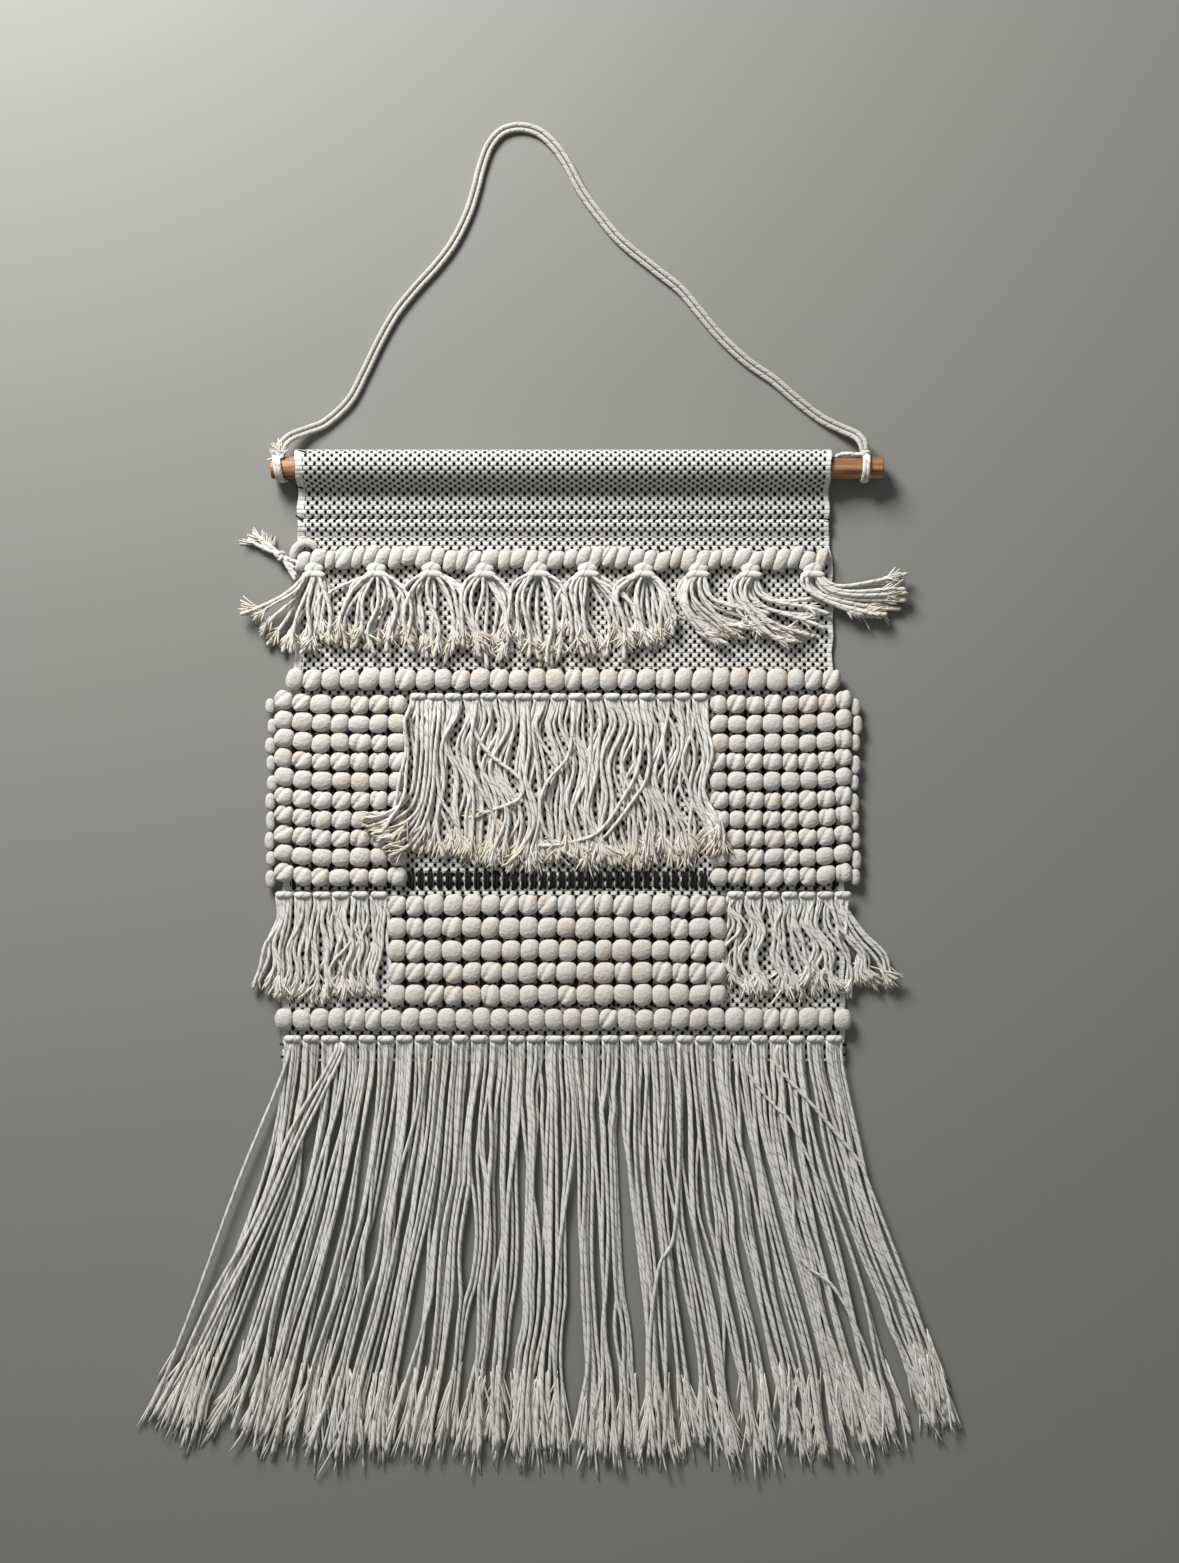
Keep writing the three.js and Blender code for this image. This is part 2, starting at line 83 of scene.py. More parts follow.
# ---- Hanging cord ------------------------------------------------------------------------------------
# Cotton cord, three plies laid into a strand, used doubled: it leaves the left hitch, rises off the
# dowel, lies on the floor in a loose peak and comes back to the right hitch. Limp and unwaxed.
CORD_DIAMETER = 2.8
CORD_LAY = 8  # millimetres along the strand for a full turn of its plies
CORD_SPACING = 1.55  # from the cord's middle line to each strand's
CORD_STEPS = 720  # rings along a strand
CORD_ENDS = (-161.5, 1.0, 11.4), (172.8, 1.0, 11.4)
CORD_ROUTE = [  # across, down, lift off the floor
    (-160.8, -3.6, 8.75), (-156.2, -8.2, 5.35), (-148, -12, 1.95), (-137.2, -17, 0.15),
    (-123.8, -29.6, 0), (-115.1, -45.8, 0), (-106.4, -63.8, 0), (-97.2, -80, 0), (-85.6, -94.5, 0),
    (-73.4, -107.9, 0), (-63.5, -121.2, 0), (-55.4, -137.5, 0), (-51, -151, 0), (-47.4, -165, 0),
    (-42.6, -177.5, 0), (-35.1, -185.6, 0), (-24.7, -187.9, 0), (-14.2, -185, 0), (-5.5, -177.5, 0),
    (2, -167, 0), (10.7, -150.8, 0), (21.2, -136.3, 0), (33.5, -121.8, 0), (52.5, -106.1, 0),
    (67.6, -94, 0), (78.6, -81.2, 0), (91.4, -66.1, 0), (106.4, -52.2, 0), (122.1, -41.2, 0),
    (134.9, -30.2, 0), (148.8, -19.5, 0.15), (160.4, -13.2, 2.35), (168.6, -8.8, 5.75),
    (172.2, -3.8, 8.75),
]
FLOOR_GAP = 0.1


def linear(colour, strength=1.0):
    """The linear colour that a shader takes, from an sRGB hex value."""
    parts = [int(colour[i:i + 2], 16) / 255 for i in (1, 3, 5)]
    parts = [c / 12.92 if c <= 0.04045 else ((c + 0.055) / 1.055) ** 2.4 for c in parts]
    return [c * strength for c in parts] + [1]


def add(material, kind, inputs=None, **settings):
    """Adds a node. An input's value is a number, a colour, an output, or a node for its first output."""
    made = material.node_tree.nodes.new("ShaderNode" + kind)
    for name, value in settings.items():
        setattr(made, name, value)
    for name, value in (inputs or {}).items():
        value = value.outputs[0] if isinstance(value, bpy.types.Node) else value
        if isinstance(value, bpy.types.NodeSocket):
            material.node_tree.links.new(value, made.inputs[name])
        else:
            made.inputs[name].default_value = value
    return made


def blank(name):
    """A material with no nodes but its output."""
    material = bpy.data.materials.new(name)
    material.use_nodes = True
    material.node_tree.nodes.clear()
    return material


def skin(name, rings, material, tips=None):
    """One closed skin over each tube of rings (tubes, rings, points, 3), in millimetres, with a UV map of
    millimetres along the tube and turns round it. tips (tubes, rings) goes to the attribute 'tip'."""
    tubes, count, around, _ = rings.shape
    middles = rings.mean(2)
    along = np.concatenate([np.zeros((tubes, 1)), np.cumsum(
        np.linalg.norm(np.diff(middles, axis=1), axis=2), axis=1)], axis=1)
    along += (np.sin(np.arange(tubes) * 12.9) * 437.5 % 9)[:, None]  # keeps neighbours' lays out of step
    points = np.concatenate([rings.reshape(-1, 3), middles[:, 0], middles[:, -1]])
    t, n, s = np.meshgrid(np.arange(tubes), np.arange(count - 1), np.arange(around), indexing="ij")
    t, n, s = t.ravel(), n.ravel(), s.ravel()

    def at(n, s):
        return (t * count + n) * around + s % around

    quads = np.stack([at(n, s), at(n, s + 1), at(n + 1, s + 1), at(n + 1, s)], 1)
    rows = [(n, s), (n, s + 1), (n + 1, s + 1), (n + 1, s)]
    quad_uv = np.stack([np.stack([along[t, i], j / around], 1) for i, j in rows], 1)
    t, s = (a.ravel() for a in np.meshgrid(np.arange(tubes), np.arange(around), indexing="ij"))
    ring_points = tubes * count * around
    first = np.stack([ring_points + t, at(0, s + 1), at(0, s)], 1)
    last = np.stack([ring_points + tubes + t, at(count - 1, s), at(count - 1, s + 1)], 1)
    cap_uv = [np.stack([np.stack([along[t, i], (s + k) / around], 1) for k in order], 1)
              for i, order in ((0, (0.5, 1, 0)), (count - 1, (0.5, 0, 1)))]
    mesh = bpy.data.meshes.new(name)
    mesh.vertices.add(len(points))
    mesh.vertices.foreach_set("co", (points / 1000).astype(np.float32).ravel())
    corners = np.concatenate([quads.ravel(), first.ravel(), last.ravel()])
    mesh.loops.add(len(corners))
    mesh.loops.foreach_set("vertex_index", corners.astype(np.int32))
    sizes = np.concatenate([np.full(len(quads), 4), np.full(2 * len(first), 3)])
    mesh.polygons.add(len(sizes))
    mesh.polygons.foreach_set("loop_start", (np.cumsum(sizes) - sizes).astype(np.int32))
    mesh.update(calc_edges=True)
    uv = np.concatenate([quad_uv.reshape(-1, 2)] + [c.reshape(-1, 2) for c in cap_uv])
    mesh.uv_layers.new(name="strand").data.foreach_set("uv", uv.astype(np.float32).ravel())
    if tips is not None:
        value = np.concatenate([np.repeat(tips.ravel(), around), tips[:, 0], tips[:, -1]])
        attribute = mesh.attributes.new("tip", "FLOAT", "POINT")
        attribute.data.foreach_set("value", value.astype(np.float32))
    mesh.shade_smooth()
    mesh.materials.append(material)
    made = bpy.data.objects.new(name, mesh)
    bpy.context.collection.objects.link(made)
    return made


def spline(points, count):
    """That many points at even spacing on a smooth curve through (tubes, points, 3)."""
    points = np.asarray(points, float)
    single = points.ndim == 2
    points = points[None] if single else points
    ends = 2 * points[:, :1] - points[:, 1:2], 2 * points[:, -1:] - points[:, -2:-1]
    p = np.concatenate([ends[0], points, ends[1]], 1)
    u = np.linspace(0, points.shape[1] - 1, 8 * (points.shape[1] - 1) + 1)
    i = np.minimum(u.astype(int), points.shape[1] - 2)
    f = (u - i)[None, :, None]
    a, b, c, d = p[:, i], p[:, i + 1], p[:, i + 2], p[:, i + 3]
    fine = 0.5 * (2 * b + (c - a) * f + (2 * a - 5 * b + 4 * c - d) * f ** 2
                  + (3 * b - 3 * c + d - a) * f ** 3)
    along = np.concatenate([np.zeros((len(p), 1)), np.cumsum(
        np.linalg.norm(np.diff(fine, axis=1), axis=2), axis=1)], axis=1)
    even = np.stack([np.stack([np.interp(np.linspace(0, s[-1], count), s, line[:, k])
                               for k in range(3)], 1) for s, line in zip(along, fine)])
    return even[0] if single else even


def tube(centres, radii, around, high=None, up=(0, 0, 1), lobes=0, depth=0.0, lay=1.0, phase=0.0):
    """Rings round each centre line (tubes, rings, 3), high their radius towards up; lobes give the plies
    of a laid strand."""
    way = np.gradient(centres, axis=1)
    way /= np.linalg.norm(way, axis=2, keepdims=True) + 1e-12
    aside = np.cross(np.array(up, float), way)
    aside /= np.linalg.norm(aside, axis=2, keepdims=True) + 1e-12
    above = np.cross(way, aside)
    turn = np.arange(around) * 2 * math.pi / around
    r = np.ones(around) * np.ones(centres.shape[:2])[..., None]
    if lobes:
        step = np.linalg.norm(np.diff(centres, axis=1), axis=2)
        along = np.concatenate([np.zeros((len(centres), 1)), np.cumsum(step, 1)], 1)
        spin = 2 * math.pi * along / lay + np.asarray(phase)
        r = r * (1 - depth + depth * np.abs(np.cos(lobes * (turn - spin[..., None]) / 2)))
    wide = np.asarray(radii)[..., None, None]
    tall = wide if high is None else np.asarray(high)[..., None, None]
    out = wide * np.cos(turn)[:, None] * aside[:, :, None] + tall * np.sin(turn)[:, None] * above[:, :, None]
    return centres[:, :, None] + r[..., None] * out


def lay_cord(sideways, steps):
    """One strand's centre line: the cord's middle line moved sideways, as the part's source has it."""
    middle = [(CORD_ENDS[0][0], y_of(CORD_ENDS[0][1]) * 1000, CORD_ENDS[0][2])]
    middle += [(x, y_of(down) * 1000, lift + CORD_DIAMETER / 2 + FLOOR_GAP) for x, down, lift in CORD_ROUTE]
    middle += [(CORD_ENDS[1][0], y_of(CORD_ENDS[1][1]) * 1000, CORD_ENDS[1][2])]
    middle = np.array(middle)
    way = np.gradient(middle, axis=0)
    aside = np.stack([-way[:, 1], way[:, 0], 0 * way[:, 0]], 1)
    aside /= np.linalg.norm(aside, axis=1, keepdims=True)
    aside[[0, -1]] *= 0.7  # the two strands are drawn together into the hitch
    return spline(middle + sideways * aside, steps)


# Bleached cotton string, laid from soft plies: matt and light, with painted shade in the grooves between
# plies and a little fuzz. The lay is drawn at its real 4 mm a turn.
cotton_string = blank("cotton_string")
place = add(cotton_string, "TexCoord")
split = add(cotton_string, "SeparateXYZ", {"Vector": place.outputs["UV"]})
turns = add(cotton_string, "Math", {0: split.outputs["X"], 1: 4.0}, operation="DIVIDE")
plies = add(cotton_string, "Math", {0: split.outputs["Y"], 1: 2.0, 2: turns},
            operation="MULTIPLY_ADD")
wave = add(cotton_string, "Math", {0: plies, 1: 1.0}, operation="PINGPONG")
groove = add(cotton_string, "MapRange", {"Value": wave, "From Min": 0.0, "From Max": 0.3})
fuzz = add(cotton_string, "TexNoise", {"Vector": place.outputs["Object"], "Scale": 1500.0, "Detail": 3.0})
blotch = add(cotton_string, "TexNoise", {"Vector": place.outputs["Object"], "Scale": 60.0, "Detail": 2.0})
lit = add(cotton_string, "Mix", {0: blotch, 6: linear("#CAC7C0"), 7: linear("#E3E1DB")},
          data_type="RGBA")
tan = add(cotton_string, "Attribute", attribute_name="tip")
aged = add(cotton_string, "Mix", {0: tan.outputs["Fac"], 6: lit.outputs[2], 7: linear("#D2C7B1")},
           data_type="RGBA")
# Painted shade: the grooves between plies are coloured a darker grey.
shade = add(cotton_string, "Mix", {0: groove, 6: linear("#B3AEA4"), 7: aged.outputs[2]},
            data_type="RGBA")
height = add(cotton_string, "Math", {0: fuzz, 1: 0.35, 2: groove},
             operation="MULTIPLY_ADD")
bump = add(cotton_string, "Bump", {"Height": height, "Strength": 0.6, "Distance": 0.0004})
look = add(cotton_string, "BsdfPrincipled", {
    "Base Color": shade.outputs[2], "Roughness": 0.92, "Specular IOR Level": 0.2, "Sheen Weight": 0.25,
    "Sheen Roughness": 0.6, "Normal": bump})
add(cotton_string, "OutputMaterial", {"Surface": look})

# The cord is the same cotton as the tassels and fringes, in a copy of its material painted a little greyer:
# painted shade that stands in for less light on the cord.
shaded_cord_cotton = cotton_string.copy()
shaded_cord_cotton.name = "cotton_cord_painted_shade"
shaded_cord_cotton.node_tree.nodes[lit.name].inputs[6].default_value = linear("#A3A098")
shaded_cord_cotton.node_tree.nodes[lit.name].inputs[7].default_value = linear("#C2BFB7")

for name, node, sideways in (("hanging_cord_upper", "cord_strand_upper", CORD_SPACING),
                             ("hanging_cord_lower", "cord_strand_lower", -CORD_SPACING)):
    line = lay_cord(sideways, CORD_STEPS)
    radii = np.full((1, CORD_STEPS), CORD_DIAMETER / 2 * 1.06)  # the grooves take back the 6 in 100
    strand = skin(name, tube(line[None], radii, 12, lobes=3, depth=0.16, lay=CORD_LAY), shaded_cord_cotton)
    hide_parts(node)
    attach(strand, "hanger")

# ---- Dowel -------------------------------------------------------------------------------------------
# Hardwood dowel, 12.7 mm across, sawn square with the ends eased, stained a warm reddish brown and
# lightly waxed. It slides in the cloth's sleeve.
DOWEL_RADIUS = 6.35
DOWEL_EASE = 0.8
rod_low, rod_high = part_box("dowel")
rod_middle = (rod_low + rod_high) / 2
bpy.ops.mesh.primitive_cylinder_add(
    vertices=96, radius=DOWEL_RADIUS / 1000, depth=rod_high.x - rod_low.x, end_fill_type="NGON",
    location=rod_middle, rotation=(0, math.pi / 2, 0))
rod = bpy.context.active_object
rod.name = rod.data.name = "dowel_rod"
bpy.ops.object.transform_apply(location=True, rotation=True, scale=True)
ease = rod.modifiers.new("eased_ends", "BEVEL")
ease.width, ease.segments = DOWEL_EASE / 1000, 3
ease.limit_method, ease.angle_limit = "ANGLE", math.radians(60)
bpy.ops.object.modifier_apply(modifier="eased_ends")
bpy.ops.object.shade_smooth_by_angle(angle=math.radians(40))

# Stained hardwood: long grain drawn out along the rod, darker streaks and pores, rings on the sawn ends.
stained_wood = blank("stained_hardwood")
place = add(stained_wood, "TexCoord")
drawn_out = add(stained_wood, "Mapping", {"Vector": place.outputs["Object"], "Scale": (9, 150, 150)})
figure = add(stained_wood, "TexNoise", {"Vector": drawn_out, "Scale": 1.6, "Detail": 5.0,
                                                  "Distortion": 0.6})
pores_way = add(stained_wood, "Mapping", {"Vector": place.outputs["Object"], "Scale": (60, 1500, 1500)})
pores = add(stained_wood, "TexNoise", {"Vector": pores_way, "Scale": 1.0, "Detail": 2.0})
stain = add(stained_wood, "ValToRGB", {"Fac": figure})
stain.color_ramp.elements[0].position, stain.color_ramp.elements[0].color = 0.3, linear("#6B4029")
stain.color_ramp.elements[1].position, stain.color_ramp.elements[1].color = 0.72, linear("#D8A67E")
dark_pores = add(stained_wood, "MapRange", {"Value": pores, "From Min": 0.3,
                                                      "From Max": 0.5, "To Min": 0.55, "To Max": 1.0})
tinted = add(stained_wood, "Mix", {0: 1.0, 6: stain, 7: dark_pores},
             data_type="RGBA", blend_type="MULTIPLY")
raised = add(stained_wood, "Bump", {"Height": pores, "Strength": 0.25, "Distance": 0.0003})
waxed = add(stained_wood, "BsdfPrincipled", {
    "Base Color": tinted.outputs[2], "Roughness": 0.5, "Specular IOR Level": 0.4, "Normal": raised})
add(stained_wood, "OutputMaterial", {"Surface": waxed})
rod.data.materials.append(stained_wood)
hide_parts("dowel")
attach(rod, "dowel")

# ---- Hitches -----------------------------------------------------------------------------------------
# The cord is wound round each end of the dowel, pulled flat and tied off on top with a small knot. The
# left one's last wrap crosses the others, and its end is a short frayed tail.
WRAP_RADIUS = DOWEL_RADIUS + 1.3
WRAP_STEPS = 72
KNOT_STEPS = 60
FIBRE_STEPS = 6
axis_y, axis_z = rod_middle.y * 1000, rod_middle.z * 1000


def wrap(turns, across, radius, high):
    """String wound round the dowel: turns as (from, to) in degrees, across as x at those."""
    angle = np.radians(np.linspace(turns[0], turns[1], WRAP_STEPS))
    x = np.interp(angle, np.radians(turns), across)
    line = np.stack([x, axis_y + WRAP_RADIUS * np.cos(angle), axis_z + WRAP_RADIUS * np.sin(angle)], 1)
    rings = tube(line[None], np.full((1, WRAP_STEPS), radius), 12, high=np.full((1, WRAP_STEPS), high),
                 up=(1, 0, 0), lobes=3, depth=0.18, lay=CORD_LAY)
    return skin("wrap", rings, cotton_string)


# The opened ends of cotton string: loose bright fibres, a little warmer than the laid string.
cotton_fibres = blank("cotton_fibres")
tan = add(cotton_fibres, "Attribute", attribute_name="tip")
warmer = add(cotton_fibres, "Mix", {0: tan.outputs["Fac"], 6: linear("#E6E4DE"), 7: linear("#CBBEA6")},
             data_type="RGBA")
fibre_look = add(cotton_fibres, "BsdfPrincipled", {
    "Base Color": warmer.outputs[2], "Roughness": 0.9, "Specular IOR Level": 0.2, "Sheen Weight": 0.3})
add(cotton_fibres, "OutputMaterial", {"Surface": fibre_look})


def join(name, parts):
    """Joins several skins into one piece."""
    bpy.ops.object.select_all(action="DESELECT")
    for part in parts:
        part.select_set(True)
    bpy.context.view_layer.objects.active = parts[0]
    if len(parts) > 1:
        bpy.ops.object.join()
    parts[0].name = parts[0].data.name = name
    bpy.ops.object.select_all(action="DESELECT")
    return parts[0]


def knot_ball(name, middle, size):
    """A small overhand knot: a strand wound three ways about its own middle."""
    t = np.linspace(0, 2 * math.pi, KNOT_STEPS)
    line = np.stack([np.sin(t) + 2 * np.sin(2 * t), np.cos(t) - 2 * np.cos(2 * t), -np.sin(3 * t)], 1)
    line = np.array(middle) + line * np.array([size, size * 0.9, size * 0.8]) / 3
    radii = np.full((1, KNOT_STEPS), 1.15)
    return skin(name, tube(line[None], radii, 10, lobes=3, depth=0.3, lay=CORD_LAY), cotton_string)


def fray(ends, ways, rng, fibres, length, spread, floor, thickness=0.42, fall=0.0, back=3.0):
    """Centre lines and radii of the loose fibres that each strand end opens into; they start up to back
    before it."""
    count = len(ends) * fibres
    way = np.repeat(ways, fibres, 0)
    start = np.repeat(ends, fibres, 0) + rng.normal(0, 0.45, (count, 3))
    start = start - way * rng.uniform(0, back, (count, 1))
    aside = np.stack([-way[:, 1], way[:, 0], 0 * way[:, 0]], 1)
    out = rng.normal(0, spread, (count, 1))
    lift = rng.normal(0.0, spread * 0.45, (count, 1)) + fall
    curl = rng.normal(0, spread * 0.5, (count, 1))
    long = length * rng.uniform(0.55, 1.1, (count, 1))
    share = np.linspace(0, 1, FIBRE_STEPS)
    t = share[None, :, None]
    line = start[:, None] + way[:, None] * long[:, None] * t
    line = line + aside[:, None] * long[:, None] * (out[:, None] * t + curl[:, None] * t ** 2)
    line = line + np.array([0, 0, 1.0]) * long[:, None] * lift[:, None] * t
    line[:, :, 2] = np.maximum(line[:, :, 2], floor)
    taper = np.interp(share, [0, 0.3, 0.8, 1], [0.4, 1.0, 0.95, 0.6])
    return line, thickness * rng.uniform(0.7, 1.25, (count, 1)) * taper[None]


rng = np.random.default_rng(11)
hitch_parts = [wrap(turns, across, 1.0, 1.6) for turns, across in (
    ((-60, 250), (-167.6, -161.6)), ((-60, 250), (-165.3, -160.4)), ((200, 420), (-160.6, -164.6)))]
hitch_parts.append(knot_ball("knot", (-162.0, axis_y + 7.2, 13.4), 2.3))
ends = np.array([[-162.5, axis_y + 8.5, 14.6], [-163.5, axis_y + 7.5, 14.0], [-161.0, axis_y + 8.6, 13.8]])
ways = np.array([[-0.35, 0.9, 0.05], [-0.85, 0.45, 0.0], [0.15, 0.97, 0.05]])
line, radius = fray(ends, ways, rng, 9, 7.5, 0.3, floor=9.0)
tips = np.tile(np.linspace(0, 0.4, FIBRE_STEPS), (len(line), 1))
hitch_parts.append(skin("tail", tube(line, radius, 4), cotton_fibres, tips=tips))
hitch_left = join("hitch_left_wraps", hitch_parts)
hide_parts("hitch_left")

hitch_parts = [wrap(turns, across, 1.15, 1.5) for turns, across in (
    ((-80, 290), (174.0, 171.8)), ((-70, 300), (175.6, 173.6)))]
hitch_parts.append(knot_ball("knot", (173.4, axis_y + 7.2, 13.2), 2.1))
hitch_right = join("hitch_right_wraps", hitch_parts)
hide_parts("hitch_right")

# A slack bight of the cord lies along the dowel between the right hitch and the sleeve.
BIGHT_STEPS = 40
bight = spline([(172.0, axis_y + 7.4, 12.2), (168.5, axis_y + 7.2, 12.0), (163.5, axis_y + 7.7, 11.4),
                (159.0, axis_y + 7.2, 11.0), (156.6, axis_y + 5.6, 11.8)], BIGHT_STEPS)
rings = tube(bight[None], np.full((1, BIGHT_STEPS), 1.25), 10, lobes=3, depth=0.25, lay=CORD_LAY)
bight = skin("hitch_right_bight", rings, cotton_string)
for piece in (hitch_left, hitch_right, bight):
    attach(piece, "hanger")
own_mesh(bight)

# ---- Woven cloth -------------------------------------------------------------------------------------
# Hand-woven plain weave: soft cream cotton wefts packed over thin black warps, which show as small dark
# dots in a diagonal lattice. One strip of cloth, its top turned over the dowel and stitched down.
WARP_PITCH, WEFT_PITCH = 2.5, 2.7
CLOTH_THICK = 1.9
HEADER_HALF, BAND_HALF, BLOCK_HALF = 153.5, 156.0, 163.0
WARPS = round(2 * HEADER_HALF / WARP_PITCH)
SLEEVE_LOW, SLEEVE_RADIUS = 0.25, 8.475
FOLD_DOWN = 8.65  # the middle of the fold's round
SLEEVE_JOIN = 47.5  # where the sleeve's cloth meets the rest, above the top row
CLOTH_START, CLOTH_END = 46.5, 354
TOP_ROW_DOWN, UPPER_ROW_DOWN = 60.9, 132.2
FULL_WIDTH_DOWN = 184.75  # where the cloth behind the blocks has its full width


def weave_height(u, v):
    """Height of the woven face, 0 to 1, at u warps and v wefts."""
    fu, fv = u % 1 - 0.5, v % 1 - 0.5
    parity = np.cos(math.pi * np.floor(u)) * np.cos(math.pi * np.floor(v))
    under_over = np.sin(math.pi * u) * np.cos(math.pi * np.floor(v))
    weft = np.sqrt(np.clip(1 - (1.85 * fv) ** 2, 0, 1)) * (0.72 - 0.28 * under_over)
    warp = 0.62 * (parity > 0) * np.clip(1 - (fu / 0.32) ** 2 - (fv / 0.42) ** 2, 0, 1) ** 0.5
    return np.maximum(weft, warp)


def cloth_slab(name, rows, half, start_v, relief=0.55, spare=3):
    """A closed sheet of cloth. rows (n, 4) are down, height, and the outward normal's down and up parts;
    half (n) is half the cloth's width. Its own back side has one point in spare of the front's."""
    rows, half = np.asarray(rows, float), np.asarray(half, float)
    columns = WARPS * 4 // spare * spare + 1
    n = (len(rows) - 1) // spare * spare + 1
    rows, half = rows[:n], half[:n]
    run = np.cumsum(np.hypot(np.diff(rows[:, 0]), np.diff(rows[:, 1])))
    v = start_v + np.concatenate([[0], run]) / WEFT_PITCH
    share = np.linspace(0, 1, columns)
    u = share * WARPS
    wobble = 0.35 * np.sin(v * 0.9 + 1) + 0.25 * np.sin(v * 0.37)
    aside = 2 * share[None] - 1
    x = aside * half[:, None] + (np.abs(aside) ** 8) * np.sign(share - 0.5) * wobble[:, None]
    lift = relief * (weave_height(u[None], v[:, None]) - 0.6)
    down = rows[:, 0, None] + lift * rows[:, 2, None]
    up = rows[:, 1, None] + lift * rows[:, 3, None]
    front = np.stack([x, FOLD - down, up], 2)
    pick_r, pick_c = np.arange(0, n, spare), np.arange(0, columns, spare)
    under = np.stack([x, FOLD - (rows[:, 0, None] - CLOTH_THICK * rows[:, 2, None]) + 0 * x,
                      rows[:, 1, None] - CLOTH_THICK * rows[:, 3, None] + 0 * x], 2)[pick_r][:, pick_c]
    m, k = len(pick_r), len(pick_c)
    base = n * columns
    last_row, last_base = (n - 1) * columns, base + (m - 1) * k

    def grid(start, down, across):
        """The first corner of each face of a grid of points."""
        r, c = (a.ravel() for a in np.meshgrid(np.arange(down - 1), np.arange(across - 1), indexing="ij"))
        return start + r * across + c

    f, b = grid(0, n, columns), grid(base, m, k)
    faces = np.stack([f, f + columns, f + columns + 1, f + 1], 1).tolist()
    faces += np.stack([b, b + 1, b + k + 1, b + k], 1).tolist()
    for j in range(k - 1):
        top = range(j * spare, (j + 1) * spare + 1)
        faces.append([base + j + 1, base + j, *top])
        faces.append([last_base + j, last_base + j + 1, *[last_row + c for c in reversed(top)]])
    for i in range(m - 1):
        side, at = range(i * spare, (i + 1) * spare + 1), base + i * k
        faces.append([at, at + k, *[r * columns for r in reversed(side)]])
        faces.append([at + 2 * k - 1, at + k - 1, *[r * columns + columns - 1 for r in side]])
    mesh = bpy.data.meshes.new(name)
    points = np.concatenate([front.reshape(-1, 3), under.reshape(-1, 3)]) / 1000
    mesh.from_pydata(points.tolist(), [], faces)
    uv_front = np.stack(np.broadcast_arrays(u[None], v[:, None]), 2)
    uv_back = uv_front[pick_r][:, pick_c] + np.array([1.0, 0.0])
    uv = np.concatenate([uv_front.reshape(-1, 2), uv_back.reshape(-1, 2)])
    corners = np.zeros(len(mesh.loops), np.int32)
    mesh.loops.foreach_get("vertex_index", corners)
    mesh.uv_layers.new(name="threads").data.foreach_set("uv", uv[corners].astype(np.float32).ravel())
    mesh.shade_smooth()
    made = bpy.data.objects.new(name, mesh)
    bpy.context.collection.objects.link(made)
    return made


# Plain-woven cotton: the map counts warps and wefts, so each dot sits on a real crossing. The wefts are
# soft and matt; the first and last warps are covered, as at a selvedge.
plain_weave = blank("plain_weave_cotton")
place = add(plain_weave, "TexCoord")
stray = add(plain_weave, "TexNoise", {"Vector": place.outputs["UV"], "Scale": 0.9, "Detail": 1.0})
stray_by = add(plain_weave, "VectorMath", {0: stray.outputs["Color"], 1: (0.5, 0.5, 0.5)},
               operation="SUBTRACT")
moved = add(plain_weave, "VectorMath", {0: stray_by, 1: (0.35, 0.3, 0.0), 2: place.outputs["UV"]},
            operation="MULTIPLY_ADD")
steady = add(plain_weave, "SeparateXYZ", {"Vector": place.outputs["UV"]})
cell = add(plain_weave, "VectorMath", {0: moved}, operation="FLOOR")
cell_xy = add(plain_weave, "SeparateXYZ", {"Vector": cell})
sum_cell = add(plain_weave, "Math", {0: cell_xy.outputs["X"], 1: cell_xy.outputs["Y"]}, operation="ADD")
over = add(plain_weave, "Math", {0: sum_cell, 1: 1.0}, operation="PINGPONG")
inside = add(plain_weave, "VectorMath", {0: moved}, operation="FRACTION")
centred = add(plain_weave, "VectorMath", {0: inside, 1: (0.5, 0.5, 0.0)}, operation="SUBTRACT")
oval = add(plain_weave, "VectorMath", {0: centred, 1: (2.35, 2.15, 0.0)}, operation="MULTIPLY")
reach = add(plain_weave, "VectorMath", {0: oval}, operation="LENGTH")
dot = add(plain_weave, "MapRange", {"Value": reach.outputs["Value"], "From Min": 1.05, "From Max": 0.8})
dot_here = add(plain_weave, "Math", {0: 1.0, 1: over}, operation="SUBTRACT")
warp_over = add(plain_weave, "Math", {0: dot, 1: dot_here}, operation="MULTIPLY")
from_left = add(plain_weave, "Math", {0: steady.outputs["X"], 1: 1.6}, operation="GREATER_THAN")
from_right = add(plain_weave, "Math", {0: steady.outputs["X"], 1: WARPS - 1.2}, operation="LESS_THAN")
not_edge = add(plain_weave, "Math", {0: from_left, 1: from_right}, operation="MULTIPLY")
warp_shows = add(plain_weave, "Math", {0: warp_over, 1: not_edge}, operation="MULTIPLY")
# Painted shade: the furrows between wefts are coloured grey in place of cream, except at the covered edges;
# the same furrow mask also sinks the bump.
weft_cell = add(plain_weave, "SeparateXYZ", {"Vector": centred})
furrow = add(plain_weave, "Math", {0: weft_cell.outputs["Y"]}, operation="ABSOLUTE")
packed = add(plain_weave, "MapRange", {"Value": furrow, "From Min": 0.5, "From Max": 0.3})
fibres_way = add(plain_weave, "Mapping", {"Vector": place.outputs["UV"], "Scale": (1.4, 9.0, 1.0)})
fibres = add(plain_weave, "TexNoise", {"Vector": fibres_way, "Scale": 1.0, "Detail": 3.0})
cream = add(plain_weave, "Mix", {0: fibres, 6: linear("#BDBAB2"), 7: linear("#F3F2EE")},
            data_type="RGBA")
edge_cover = add(plain_weave, "Math", {0: 1.0, 1: not_edge}, operation="SUBTRACT")
lit_weft = add(plain_weave, "Math", {0: packed, 1: edge_cover}, operation="MAXIMUM")
